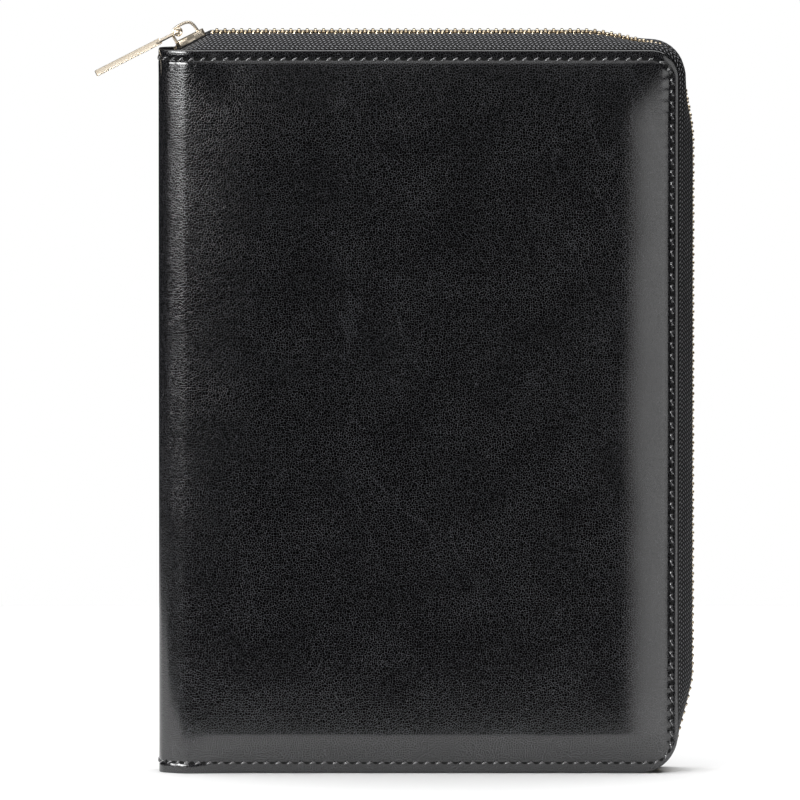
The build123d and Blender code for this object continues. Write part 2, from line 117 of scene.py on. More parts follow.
def put(tree: bpy.types.NodeTree, kind: str, inputs: dict | None = None, **settings) -> bpy.types.Node:
    """Add a node, set its properties, and link or set its inputs.

    Args:
        tree: node tree that gets the node.
        kind: type name of the node.
        inputs: input name or number to a value, or to the socket or node that feeds it; a node
            feeds by its first output.
        settings: properties of the node.
    Returns:
        The new node.
    """
    node = tree.nodes.new(kind)
    for key, value in settings.items():
        setattr(node, key, value)
    for key, value in (inputs or {}).items():
        source = value.outputs[0] if isinstance(value, bpy.types.Node) else value
        if isinstance(source, bpy.types.NodeSocket):
            tree.links.new(source, node.inputs[key])
        else:
            node.inputs[key].default_value = source
    return node


def start_material(name: str) -> tuple[bpy.types.Material, bpy.types.NodeTree]:
    """An empty node material.

    Args:
        name: name of the material.
    Returns:
        The material and its tree.
    """
    material = bpy.data.materials.new(name)
    material.use_nodes = True
    material.node_tree.nodes.clear()
    return material, material.node_tree


def link_object(name: str, data: bpy.types.ID) -> bpy.types.Object:
    """Add an object to the scene.

    Args:
        name: name of the object.
        data: its mesh, light or camera.
    Returns:
        The object, at the origin.
    """
    made = bpy.data.objects.new(name, data)
    bpy.context.scene.collection.objects.link(made)
    return made


def dress(made: bpy.types.Object, body: str, node: str) -> None:
    """Say what a piece rides on, and hide the CAD node that it stands for.

    Args:
        made: the piece.
        body: CAD body that carries it.
        node: CAD node that it replaces.
    """
    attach(made, body)
    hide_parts(node)


def repaint(node: str, material: bpy.types.Material) -> None:
    """Give a CAD node that stays in sight its finish.

    Args:
        node: name of the node.
        material: its finish.
    """
    mesh = frame["nodes"][node].data
    mesh.materials.clear()
    mesh.materials.append(material)


def run_lengths(line: np.ndarray) -> np.ndarray:
    """Run along a line of points, from the first of them to each."""
    return np.concatenate([[0], np.cumsum(np.hypot(*np.diff(line, axis=0).T))])


def along_line(line: np.ndarray, steps: np.ndarray) -> np.ndarray:
    """Points of a line at given runs from its start, one a row."""
    runs = run_lengths(line)
    return np.stack([np.interp(steps, runs, line[:, k]) for k in (0, 1)], axis=-1)


def unit(rows: np.ndarray) -> np.ndarray:
    """Vectors brought to length 1, one a row."""
    return rows / np.linalg.norm(rows, axis=1, keepdims=True)


def make_object(name: str, points: np.ndarray, faces: list, material: bpy.types.Material,
                flat: np.ndarray | None = None, smooth: bool = True) -> bpy.types.Object:
    """A mesh object in the frame from case coordinates.

    Args:
        name: name of the piece.
        points: vertices in case millimetres.
        faces: vertex numbers of each face.
        material: finish of the piece.
        flat: place of each vertex on the flat cut sheet, in mm, kept as a UV map.
        smooth: smooth shading.
    Returns:
        The new object, linked to the scene.
    """
    mesh = bpy.data.meshes.new(name)
    mesh.from_pydata(world(points).tolist(), [], faces)
    if flat is not None:
        layer = mesh.uv_layers.new(name="flat")
        corners = np.empty(len(mesh.loops), np.int32)
        mesh.loops.foreach_get("vertex_index", corners)
        layer.data.foreach_set("uv", (flat[corners] * MM).astype(np.float32).ravel())
    mesh.polygons.foreach_set("use_smooth", [smooth] * len(mesh.polygons))
    mesh.materials.append(material)
    mesh.update()
    return link_object(name, mesh)


def grid_faces(rows: int, columns: int, flip: bool = False, closed: bool = False) -> list[tuple[int, ...]]:
    """Faces of a grid of points stored row by row.

    Args:
        rows: number of rows.
        columns: number of points in a row.
        flip: turn the faces over.
        closed: each row is a closed ring, and the first and last rings are capped.
    Returns:
        Vertex numbers of each face.
    """
    faces = []
    for j in range(rows - 1):
        for i in range(columns if closed else columns - 1):
            k, n = j * columns + i, j * columns + (i + 1) % columns
            faces.append((k, n, n + columns, k + columns))
    if closed:
        faces += [tuple(range(columns))[::-1], tuple(range((rows - 1) * columns, rows * columns))]
    return [face[::-1] for face in faces] if flip else faces


def smooth(t: np.ndarray) -> np.ndarray:
    """Even start and stop between 0 and 1."""
    t = np.clip(t, 0.0, 1.0)
    return t * t * (3 - 2 * t)


def pillow(t: np.ndarray) -> np.ndarray:
    """Fall of a padded face, 1 at its sewn edge and 0 on the crown, steepest at the edge."""
    t = np.clip(t, 0.0, 1.0)
    return (1 - t) ** 1.6


@dataclass(frozen=True)
class Finish:
    """Look of one material; each kind of finish says what its main shader gets."""

    name: str

    def inputs(self, tree: bpy.types.NodeTree) -> dict:
        """Add the pattern of the finish to a tree.

        Args:
            tree: tree of the material.
        Returns:
            Inputs of the main shader.
        """
        raise NotImplementedError

    def material(self) -> bpy.types.Material:
        """Build the finish.

        Returns:
            The material.
        """
        material, tree = start_material(self.name)
        shader = put(tree, "ShaderNodeBsdfPrincipled", self.inputs(tree))
        put(tree, "ShaderNodeOutputMaterial", {"Surface": shader})
        return material


@dataclass(frozen=True)
class Creases:
    """A net of creases round cells of one size; the other lengths are shares of that size.

    The net fades in where a cloud, `spread` times as wide as a cell, goes from low to high.
    """

    size_mm: float
    wander: float
    width: float
    low: float
    high: float
    drift: float = 1.6
    spread: float = 2.3


@dataclass(frozen=True)
class Wrinkles:
    """Long wrinkles of one lean, in radians, that fade in where a cloud goes from low to high."""

    lean: float
    low: float
    high: float


@dataclass(frozen=True)
class LeatherFinish(Finish):
    """Leatherette: a cloth back with an embossed, lacquered skin.

    The skin is near black, so the eye sees it by its reflections. A net of creases, less than
    1 mm from one to the next, is rubbed lighter and breaks them up; it is drawn as coarse as it
    needs to show. Fainter folds and a few long wrinkles cross it.
    """

    base: str = "#030304"
    rubbed: str = "#404043"
    roughness: float = 0.12
    ior: float = 1.75
    grain: Creases = Creases(0.8, wander=1.2, width=0.14, low=-0.6, high=0.6)
    folds: Creases = Creases(8.0, wander=1.3, width=0.014, low=0.46, high=0.62)
    fold_share: float = 0.4
    wrinkle_sets: tuple[Wrinkles, ...] = (Wrinkles(-0.55, 0.56, 0.66), Wrinkles(1.1, 0.57, 0.67))
    wrinkle_mm: float = 30.0
    wrinkle_shape: tuple[float, float] = (0.3, 1.6)
    wrinkle_patch: float = 0.37
    wrinkles: float = 0.2
    ridge: float = 0.016
    cloud_mm: float = 17.0
    least_worn: float = 0.75
    grit_mm: float = 1.3
    grit: float = 0.8
    relief_mm: float = 0.009

    def inputs(self, tree: bpy.types.NodeTree) -> dict:
        """Nets of creases and long wrinkles, rubbed lighter and pressed in; see Finish."""
        flat = put(tree, "ShaderNodeUVMap", uv_map="flat")
        lines = []
        for net in (self.grain, self.folds):
            size = net.size_mm * MM
            drift = put(tree, "ShaderNodeTexNoise", {"Vector": flat, "Scale": 1 / (net.drift * size), "Detail": 3.0},
                        noise_dimensions="2D")
            shift = put(tree, "ShaderNodeVectorMath", {0: drift.outputs["Color"], "Scale": net.wander * size},
                        operation="SCALE")
            bent = put(tree, "ShaderNodeVectorMath", {0: flat, 1: shift}, operation="ADD")
            edge = put(tree, "ShaderNodeTexVoronoi", {"Vector": bent, "Scale": 1 / size},
                       voronoi_dimensions="2D", feature="DISTANCE_TO_EDGE").outputs["Distance"]
            line = put(tree, "ShaderNodeMapRange", {"Value": edge, "From Max": net.width, "To Min": 1.0, "To Max": 0.0},
                       interpolation_type="SMOOTHSTEP")
            patch = put(tree, "ShaderNodeTexNoise", {"Vector": flat, "Scale": 1 / (net.spread * size), "Detail": 2.0},
                        noise_dimensions="2D")
            there = put(tree, "ShaderNodeMapRange", {"Value": patch, "From Min": net.low, "From Max": net.high})
            lines.append(put(tree, "ShaderNodeMath", {0: line, 1: there}, operation="MULTIPLY"))
        stretch = (*[share / (self.wrinkle_mm * MM) for share in self.wrinkle_shape], 1.0)
        for wrinkle in self.wrinkle_sets:
            leant = put(tree, "ShaderNodeVectorRotate", {"Vector": flat, "Angle": wrinkle.lean}, rotation_type="Z_AXIS")
            turned = put(tree, "ShaderNodeVectorMath", {0: leant, 1: stretch}, operation="MULTIPLY")
            wave = put(tree, "ShaderNodeTexNoise", {"Vector": turned, "Scale": 1.0, "Detail": 2.0, "Distortion": 0.1},
                       noise_dimensions="2D")
            off = put(tree, "ShaderNodeMath", {0: wave, 1: 0.5}, operation="SUBTRACT")
            ridge = put(tree, "ShaderNodeMath", {0: off}, operation="ABSOLUTE")
            line = put(tree, "ShaderNodeMapRange", {"Value": ridge, "From Max": self.ridge, "To Min": 1.0,
                                                    "To Max": 0.0})
            patch = put(tree, "ShaderNodeTexNoise", {"Vector": turned, "Scale": self.wrinkle_patch, "Detail": 2.0},
                        noise_dimensions="2D")
            there = put(tree, "ShaderNodeMapRange", {"Value": patch, "From Min": wrinkle.low,
                                                     "From Max": wrinkle.high})
            lines.append(put(tree, "ShaderNodeMath", {0: line, 1: there}, operation="MULTIPLY"))
        cloud = put(tree, "ShaderNodeTexNoise", {"Vector": flat, "Scale": 1 / (self.cloud_mm * MM), "Detail": 4.0},
                    noise_dimensions="2D")
        worn = put(tree, "ShaderNodeMapRange", {"Value": cloud, "From Min": 0.3, "From Max": 0.7,
                                                "To Min": self.least_worn})
        fine = put(tree, "ShaderNodeMath", {0: lines[1], 1: self.fold_share, 2: lines[0]}, operation="MULTIPLY_ADD")
        shown = put(tree, "ShaderNodeMath", {0: fine, 1: worn}, operation="MULTIPLY")
        both = put(tree, "ShaderNodeMath", {0: lines[2], 1: lines[3]}, operation="MAXIMUM")
        net = put(tree, "ShaderNodeMath", {0: both, 1: self.wrinkles, 2: shown}, operation="MULTIPLY_ADD",
                  use_clamp=True)
        colour = put(tree, "ShaderNodeMix", {"Factor": net, 6: linear(self.base), 7: linear(self.rubbed)},
                     data_type="RGBA").outputs[2]
        grit = put(tree, "ShaderNodeTexNoise", {"Vector": flat, "Scale": 1 / (self.grit_mm * MM), "Detail": 1.0},
                   noise_dimensions="2D")
        low_grit = put(tree, "ShaderNodeMath", {0: grit, 1: self.grit}, operation="MULTIPLY")
        depth = put(tree, "ShaderNodeMath", {0: net, 1: -1.0, 2: low_grit}, operation="MULTIPLY_ADD")
        bump = put(tree, "ShaderNodeBump", {"Height": depth, "Strength": 1.0, "Distance": self.relief_mm * MM})
        return {"Base Color": colour, "Roughness": self.roughness, "IOR": self.ior, "Normal": bump}


@dataclass(frozen=True)
class WeaveFinish(Finish):
    """Woven cloth: threads that cross over and under, dull; the light caught on their crowns is a painted highlight, a
    lighter colour where the threads stand highest.
    """

    base: str
    crown: str
    rib_mm: float
    band_mm: float
    relief_mm: float
    roughness: float = 0.6
    lean: float = 1.25
    thread: float = 0.62
    thread_height: float = 0.45
    bright: tuple[float, float] = (0.45, 1.4)
    specular: float = 0.2

    def inputs(self, tree: bpy.types.NodeTree) -> dict:
        """Ribs that lean one way and then the other from band to band, coloured lighter on their tops as a painted
        highlight; see Finish.
        """
        parts = put(tree, "ShaderNodeSeparateXYZ", {0: put(tree, "ShaderNodeUVMap", uv_map="flat")})
        across, turn = parts.outputs["Y"], math.tau / (self.rib_mm * MM)
        bend = put(tree, "ShaderNodeMath", {0: across, 1: self.band_mm * MM}, operation="PINGPONG")
        lean = put(tree, "ShaderNodeMath", {0: bend, 1: self.lean, 2: parts.outputs["X"]}, operation="MULTIPLY_ADD")
        phase = put(tree, "ShaderNodeMath", {0: lean, 1: turn}, operation="MULTIPLY")
        rib = put(tree, "ShaderNodeMath", {0: phase}, operation="SINE")
        step = put(tree, "ShaderNodeMath", {0: across, 1: turn / self.thread}, operation="MULTIPLY")
        thread = put(tree, "ShaderNodeMath", {0: step}, operation="SINE")
        height = put(tree, "ShaderNodeMath", {0: thread, 1: self.thread_height, 2: rib}, operation="MULTIPLY_ADD")
        share = put(tree, "ShaderNodeMapRange", {"Value": height, "From Min": self.bright[0],
                                                 "From Max": self.bright[1]}, interpolation_type="SMOOTHSTEP")
        # Painted highlight: the lighter crown colour comes in where the threads stand highest.
        colour = put(tree, "ShaderNodeMix", {"Factor": share, 6: linear(self.base), 7: linear(self.crown)},
                     data_type="RGBA").outputs[2]
        bump = put(tree, "ShaderNodeBump", {"Height": height, "Strength": 0.7, "Distance": self.relief_mm * MM})
        return {"Base Color": colour, "Roughness": self.roughness, "Specular IOR Level": self.specular, "Normal": bump}


@dataclass(frozen=True)
class MetalFinish(Finish):
    """Plated zinc or brass: a coloured mirror, softened by fine polishing marks."""

    base: str
    roughness: float
    worn: str
    patch_mm: float = 5.0
    dulling: float = 0.03

    def inputs(self, tree: bpy.types.NodeTree) -> dict:
        """Plating that is a little darker and duller in cloudy patches; see Finish."""
        place = put(tree, "ShaderNodeTexCoord").outputs["Object"]
        cloud = put(tree, "ShaderNodeTexNoise", {"Vector": place, "Scale": 1 / (self.patch_mm * MM), "Detail": 2.0})
        share = put(tree, "ShaderNodeMapRange", {"Value": cloud, "From Min": 0.35, "From Max": 0.7})
        colour = put(tree, "ShaderNodeMix", {"Factor": share, 6: linear(self.base), 7: linear(self.worn)},
                     data_type="RGBA").outputs[2]
        rough = put(tree, "ShaderNodeMapRange", {"Value": cloud, "From Min": 0.3, "From Max": 0.7,
                                                 "To Min": self.roughness, "To Max": self.roughness + self.dulling})
        return {"Base Color": colour, "Metallic": 1.0, "Roughness": rough}


@dataclass(frozen=True)
class PlainFinish(Finish):
    """A plain material with a little cloudiness: thread, board or paint."""

    base: str
    cloud: str
    roughness: float
    patch_mm: float
    ior: float = 1.5

    def inputs(self, tree: bpy.types.NodeTree) -> dict:
        """One colour that goes over into another in cloudy patches; see Finish."""
        place = put(tree, "ShaderNodeTexCoord").outputs["Object"]
        cloud = put(tree, "ShaderNodeTexNoise", {"Vector": place, "Scale": 1 / (self.patch_mm * MM), "Detail": 4.0})
        share = put(tree, "ShaderNodeMapRange", {"Value": cloud, "From Min": 0.3, "From Max": 0.7})
        colour = put(tree, "ShaderNodeMix", {"Factor": share, 6: linear(self.base), 7: linear(self.cloud)},
                     data_type="RGBA").outputs[2]
        return {"Base Color": colour, "Roughness": self.roughness, "IOR": self.ior}


@dataclass(frozen=True)
class PaperFinish(Finish):
    """Uncoated writing paper: matt and warm white, ruled on its face, cut sheets showing at the edges."""

    base: str = "#f1eee4"
    rule: str = "#8fa3bd"
    rule_mm: float = 7.0
    first_rule: float = 0.030
    last_rule: float = 0.190
    face_y: float = 0.0
    leaf_mm: float = 0.28
    ink_mm: float = 0.25
    face_mm: float = 0.05
    relief_mm: float = 0.05

    def inputs(self, tree: bpy.types.NodeTree) -> dict:
        """Ruled lines on the face, and the leaves at the cut edges; see Finish."""
        parts = put(tree, "ShaderNodeSeparateXYZ", {0: put(tree, "ShaderNodeTexCoord").outputs["Object"]})
        y, z = parts.outputs["Y"], parts.outputs["Z"]
        past = put(tree, "ShaderNodeMath", {0: z, 1: self.rule_mm * MM}, operation="FLOORED_MODULO")
        ruled = 1.0
        for value, limit, test in ((past, self.ink_mm * MM, "LESS_THAN"), (z, self.first_rule, "GREATER_THAN"),
                                   (z, self.last_rule, "LESS_THAN"), (y, self.face_y + self.face_mm * MM, "LESS_THAN")):
            mask = put(tree, "ShaderNodeMath", {0: value, 1: limit}, operation=test)
            ruled = put(tree, "ShaderNodeMath", {0: ruled, 1: mask}, operation="MULTIPLY")
        leaves = put(tree, "ShaderNodeMath", {0: y, 1: math.tau / (self.leaf_mm * MM)}, operation="MULTIPLY")
        wave = put(tree, "ShaderNodeMath", {0: leaves}, operation="SINE")
        bump = put(tree, "ShaderNodeBump", {"Height": wave, "Strength": 0.4, "Distance": self.relief_mm * MM})
        colour = put(tree, "ShaderNodeMix", {"Factor": ruled, 6: linear(self.base), 7: linear(self.rule)},
                     data_type="RGBA").outputs[2]
        return {"Base Color": colour, "Roughness": 0.85, "Normal": bump}


# Outer skin: lacquered black leatherette with a fine net of creases, so black gloss with a grey sparkle.
OUTER = LeatherFinish("outer_leather")
# Pocket skin: the same kind of sheet, thinner and without lacquer, so duller and a little greyer.
POCKET = LeatherFinish("pocket_leather", base="#111112", rubbed="#5c5c5f", roughness=0.4, relief_mm=0.04, wrinkles=0.25)
# Sewing thread: twisted black polyester, its filaments catch small lights.
THREAD = PlainFinish("thread", "#1a1a1c", "#3a3a3d", 0.16, 0.5, ior=2.5)
# Needle holes: painted shade, a near-black matt disc laid in each punched opening in the skin where the shadow inside
# it falls.
PAINTED_HOLE_SHADE = PlainFinish("needle_hole", "#020202", "#030303", 0.95, 0.5)
# Zip tape: black polyester herringbone, ribs about 1.4 mm apart, dull; its grey crowns are a painted highlight on the
# black weave.
TAPE = WeaveFinish("tape", "#010102", "#8e8e92", rib_mm=1.45, band_mm=6.6, relief_mm=0.25)
# Zip teeth: brass darkened by an antique wash, so bright only on the crowns.
TEETH = MetalFinish("teeth", "#d8cab2", 0.24, "#96866c")
# Slider and pull: light gold plating over polished zinc.
GOLD = MetalFinish("slider_metal", "#f1e4d0", 0.29, "#eadcc6")
# Lining: thin matt black plain-weave cloth glued to the boards; its slightly lighter crowns are a painted highlight.
LINING = WeaveFinish("lining", "#0d0d0f", "#202023", rib_mm=0.9, band_mm=0.45, relief_mm=0.05, roughness=0.8)
# Pad binding: matt book cloth over the head of the pad; its slightly lighter crowns are a painted highlight.
CLOTH = WeaveFinish("pad_cloth", "#101014", "#25252b", rib_mm=0.7, band_mm=0.35, relief_mm=0.05, roughness=0.8)
# Grey bookbinder's board and the pad's brown backing board: felted fibres, quite matt.
BOARD = PlainFinish("board", "#8f897c", "#807a6e", 0.9, 6.0)
PAD_BOARD = PlainFinish("pad_board", "#a8946f", "#998663", 0.88, 5.0)


@dataclass(frozen=True)
class Sheet:
    """Flat pattern of a sheet with rolled edges and round corners, sizes in mm.

    A pattern line beyond an edge stands for a row of the roll: over the edge, down its
    thickness and a little way in along the inner face.
    """

    width: float
    height: float
    thickness: float
    right_radius: float
    left_radius: float
    rolled_left: bool = True
    low_radius: float | None = None
    rim: float = 16.0
    fine: float = 1.0
    coarse: float = 5.0
    lap: float = 2.0

    STEP = 0.05

    def roll(self) -> tuple[np.ndarray, np.ndarray, np.ndarray]:
        """Rows of the roll.

        Returns:
            Pattern place, inset and depth of each row, by rising place.
        """
        outer = 0.35 * self.thickness
        inner = 0.25 * self.thickness
        foot = self.thickness - inner
        over = [math.radians(angle) for angle in (0, 30, 60, 90)]
        under = [math.radians(angle) for angle in (45, 90)]
        rows = [(outer - outer * math.sin(a), outer - outer * math.cos(a)) for a in over]
        rows.append((0.0, foot))
        rows += [(inner - inner * math.cos(a), foot + inner * math.sin(a)) for a in under]
        rows.append((self.lap, self.thickness))
        places = outer - self.STEP * np.arange(len(rows))
        inset, depth = np.array(rows).T
        return places[::-1], inset[::-1], depth[::-1]

    def lines(self, length: float, rolled_start: bool) -> np.ndarray:
        """Pattern lines across one direction, close together near the edges.

        Args:
            length: size of the sheet in this direction.
            rolled_start: whether its first edge is rolled.
        Returns:
            Places of the lines.
        """
        rows = self.roll()[0]
        rim = min(self.rim, length / 3)
        near = np.linspace(rows[-1], rim, max(int(rim / self.fine), 3) + 1)[1:]
        middle = np.linspace(rim, length - rim, max(int((length - 2 * rim) / self.coarse), 2) + 1)[1:-1]
        start = np.concatenate([rows, near]) if rolled_start else np.linspace(0, rim, max(int(rim / self.fine), 3) + 1)
        return np.concatenate([start, middle, length - near[::-1], length - rows[::-1]])

    def bend(self, p: np.ndarray, q: np.ndarray, radius: float) -> tuple[np.ndarray, np.ndarray]:
        """Lead the square pattern lines near a corner round it.

        Args:
            p: distance from the upright edge on the pattern.
            q: distance from the level edge on the pattern.
            radius: radius of the corner.
        Returns:
            True distances from the two edges.
        """
        places, insets, _ = self.roll()
        reach = self.reach(radius)
        e = np.minimum(p, q)
        inset = np.where(e < places[-1], np.interp(e, places, insets), e)
        first = q <= p
        share = (reach - np.where(first, p, q)) / (reach - e)
        r = np.maximum(radius * (1 - inset / reach), 1e-6)
        straight = reach - inset - r
        run = share * (straight + r * math.pi / 4)
        angle = np.clip((run - straight) / r, 0, math.pi / 4)
        along = np.where(run < straight, reach - run, inset + r - r * np.sin(angle))
        off = np.where(run < straight, inset, inset + r - r * np.cos(angle))
        return np.where(first, along, off), np.where(first, off, along)

    def reach(self, radius: float) -> float:
        """Size of the corner square that is bent."""
        return max(2.6 * radius, radius + self.lap + 1.0)

    def pattern(self, columns: np.ndarray | None = None) -> tuple[np.ndarray, np.ndarray, np.ndarray]:
        """Points of the whole sheet.

        Args:
            columns: pattern lines across the width, where the usual ones don't do.
        Returns:
            Distance from the left edge, from the lower edge, and depth below the outer face.
        """
        places, insets, depths = self.roll()
        u = self.lines(self.width, self.rolled_left) if columns is None else columns
        cu, cv = np.meshgrid(u, self.lines(self.height, True))
        far = np.full_like(cu, 1e6)
        left = cu if self.rolled_left else far
        gaps = {"l": left, "r": self.width - cu, "b": cv, "t": self.height - cv}
        inset = {k: np.where(g < places[-1], np.interp(g, places, insets), g) for k, g in gaps.items()}
        depth = np.max([np.where(g < places[-1], np.interp(g, places, depths), 0.0) for g in gaps.values()], axis=0)
        a = np.where(gaps["l"] < gaps["r"], inset["l"], self.width - inset["r"])
        b = np.where(gaps["b"] < gaps["t"], inset["b"], self.height - inset["t"])
        low = self.right_radius if self.low_radius is None else self.low_radius
        for upright, radii in (("l", (self.left_radius, self.left_radius)), ("r", (low, self.right_radius))):
            for level, radius in zip(("b", "t"), radii):
                reach = self.reach(radius)
                near = (gaps[upright] < reach) & (gaps[level] < reach)
                p, q = self.bend(gaps[upright][near], gaps[level][near], radius)
                a[near] = p if upright == "l" else self.width - p
                b[near] = q if level == "b" else self.height - q
        return a, b, depth


class Scatter:
    """Geometry Nodes tree that sets one small piece on every point of a row."""

    def __init__(self) -> None:
        tree = bpy.data.node_groups.new("scatter", "GeometryNodeTree")
        face = tree.interface
        face.new_socket("Geometry", in_out="INPUT", socket_type="NodeSocketGeometry")
        self.piece = face.new_socket("Piece", in_out="INPUT", socket_type="NodeSocketObject").identifier
        self.size = face.new_socket("Size", in_out="INPUT", socket_type="NodeSocketFloat").identifier
        self.finish = face.new_socket("Finish", in_out="INPUT", socket_type="NodeSocketMaterial").identifier
        face.new_socket("Geometry", in_out="OUTPUT", socket_type="NodeSocketGeometry")
        tree.is_modifier = True
        given = put(tree, "NodeGroupInput")
        ways = [put(tree, "GeometryNodeInputNamedAttribute", {"Name": name}, data_type="FLOAT_VECTOR")
                for name in ("outward", "along")]
        turn = put(tree, "FunctionNodeAxesToRotation", {"Primary Axis": ways[0], "Secondary Axis": ways[1]},
                   primary_axis="Z", secondary_axis="X")
        piece = put(tree, "GeometryNodeObjectInfo", {"Object": given.outputs["Piece"]})
        placed = put(tree, "GeometryNodeInstanceOnPoints", {
            "Points": given.outputs["Geometry"], "Instance": piece.outputs["Geometry"],
            "Rotation": turn, "Scale": given.outputs["Size"]})
        real = put(tree, "GeometryNodeRealizeInstances", {"Geometry": placed})
        dressed = put(tree, "GeometryNodeSetMaterial", {"Geometry": real, "Material": given.outputs["Finish"]})
        put(tree, "NodeGroupOutput", {"Geometry": dressed})
        self.tree = tree

    def place(self, name: str, points: np.ndarray, outward: np.ndarray, along: np.ndarray,
              piece: bpy.types.Object, material: bpy.types.Material) -> bpy.types.Object:
        """Set the piece on each point and keep the result as a plain mesh.

        Args:
            name: name of the row.
            points: places in case mm.
            outward: direction of the piece's z at each place.
            along: direction of the piece's x at each place.
            piece: what is set on the points, made in mm.
            material: finish of the row.
        Returns:
            One object with all the pieces.
        """
        row = make_object(name + "_points", points, [], material)
        for key, values in (("outward", outward), ("along", along)):
            kept = row.data.attributes.new(key, "FLOAT_VECTOR", "POINT")
            kept.data.foreach_set("vector", np.asarray(values, np.float32).ravel())
        modifier = row.modifiers.new("scatter", "NODES")
        modifier.node_group = self.tree
        modifier[self.piece] = piece
        modifier[self.size] = MM
        modifier[self.finish] = material
        bpy.context.view_layer.update()
        graph = bpy.context.evaluated_depsgraph_get()
        mesh = bpy.data.meshes.new_from_object(row.evaluated_get(graph), depsgraph=graph)
        mesh.name = name
        bpy.data.objects.remove(row)
        return link_object(name, mesh)


def small_piece(name: str, build) -> bpy.types.Object:
    """A piece for a row, made in mm and kept out of the scene.

    Args:
        name: name of the piece.
        build: function that fills an empty bmesh.
    Returns:
        The object.
    """
    shape = bmesh.new()
    build(shape)
    bmesh.ops.recalc_face_normals(shape, faces=shape.faces)
    mesh = bpy.data.meshes.new(name)
    shape.to_mesh(mesh)
    shape.free()
    mesh.polygons.foreach_set("use_smooth", [True] * len(mesh.polygons))
    return bpy.data.objects.new(name, mesh)


@dataclass(frozen=True)
class StitchSizes:
    """One lockstitch and the dark disc of painted shade in the needle hole beside it, in mm; thin, broad and low are
    shares.
    """

    half: float = 1.2
    slant: float = 0.5
    crown: float = 0.26
    dive: float = 0.7
    thread: float = 0.40
    thin: float = 0.75
    broad: float = 1.05
    low: float = 0.85
    rings: int = 7
    sides: int = 8
    hole: tuple[float, float] = (0.85, 0.52)
    hole_rim: float = -0.03
    hole_pit: float = 0.05
    hole_sides: int = 14


STITCH = StitchSizes()


def stitch_shape(shape: bmesh.types.BMesh) -> None:
    """One lockstitch: a plump thread that dives into the needle holes, a little slanted."""
    s = STITCH
    rings = []
    for k in range(s.rings):
        t = k / (s.rings - 1) * 2 - 1
        thick = s.thread * math.sqrt(1 - s.thin * t * t)
        centre = Vector((s.half * t, s.slant * t, s.crown - s.dive * t * t * t * t))
        turns = [math.tau * i / s.sides for i in range(s.sides)]
        rings.append([shape.verts.new(centre + thick * Vector((0, s.broad * math.cos(a), s.low * math.sin(a))))
                      for a in turns])
    for one, two in zip(rings, rings[1:]):
        for i in range(s.sides):
            n = (i + 1) % s.sides
            shape.faces.new((one[i], one[n], two[n], two[i]))
    shape.faces.new(rings[0][::-1])
    shape.faces.new(rings[-1])


def hole_shape(shape: bmesh.types.BMesh) -> None:
    """A needle hole's painted shade: a shallow dark oval between two stitches, standing in for the shadow in the
    opening.
    """
    s = STITCH
    turns = [math.tau * i / s.hole_sides for i in range(s.hole_sides)]
    rim = [shape.verts.new((s.hole[0] * math.cos(a), s.hole[1] * math.sin(a), s.hole_rim)) for a in turns]
    pit = shape.verts.new((0, 0, s.hole_pit))
    for one, two in zip(rim, rim[1:] + rim[:1]):
        shape.faces.new((one, two, pit))


def rounded_box(shape: bmesh.types.BMesh, low: tuple, high: tuple, edge: float) -> None:
    """Add a box with bevelled edges to a bmesh.

    Args:
        shape: bmesh that gets the box.
        low: lowest corner.
        high: highest corner.
        edge: width of the bevel.
    """
    made = bmesh.ops.create_cube(shape, size=1.0)["verts"]
    for vert in made:
        vert.co = Vector([(l + h) / 2 + c * (h - l) for l, h, c in zip(low, high, vert.co)])
    edges = list({e for v in made for e in v.link_edges})
    bmesh.ops.bevel(shape, geom=edges, offset=edge, segments=1, affect="EDGES", profile=0.5)


# Lowest corner, highest corner and bevel of a tooth's legs and head, in mm: x along the chain, y across it.
TOOTH_BOXES = (((-0.52, -3.2, -1.15), (0.52, -0.35, 1.2), 0.22), ((-0.42, -0.7, -0.8), (0.42, 0.9, 0.85), 0.2))


def tooth_shape(side: Side):
    """Builder of a zip tooth: legs clamped on the tape's edge and a narrower head that meshes.

    Args:
        side: cover whose tape carries it.
    Returns:
        Function that fills a bmesh.
    """
    def build(shape: bmesh.types.BMesh) -> None:
        for box in TOOTH_BOXES:
            rounded_box(shape, *box)
        for vert in shape.verts:
            vert.co.y *= -side.value
    return build


@dataclass(frozen=True)
class CoverSizes:
    """Sizes of a cover and its padded crown, in mm."""

    width: float = 172.0
    height: float = 240.0
    half_depth: float = 14.0
    corner: float = 9.0
    low_corner: float = 13.0
    spine_round: float = 9.0
    leather: float = 1.0
    rise: float = 2.0
    margin: float = 2.0
    right_slope: float = 17.5
    top_slope: float = 22.0
    low_slope: float = 11.0
    fall: float = 0.16
    fall_reach: float = 5.0
    flare: float = 17.0
    shoulder: float = 2.4
    shoulder_reach: float = 34.0
    shoulder_back: float = 5.0
    shoulder_blend: float = 11.0
    stitch_right: float = 2.2
    stitch_top: float = 3.0
    stitch_low: float = 3.6
    stitch_radius: float = 7.0
    stitch_pitch: float = 3.8
    groove: float = 0.30
    groove_half: float = 0.6
    pucker: float = 0.05
    pucker_in: float = 1.2
    pucker_reach: float = 2.0
    sag: float = 0.13
    sag_wide: float = 38.0
    sag_fine: float = 15.0
    sag_edge: float = 10.0


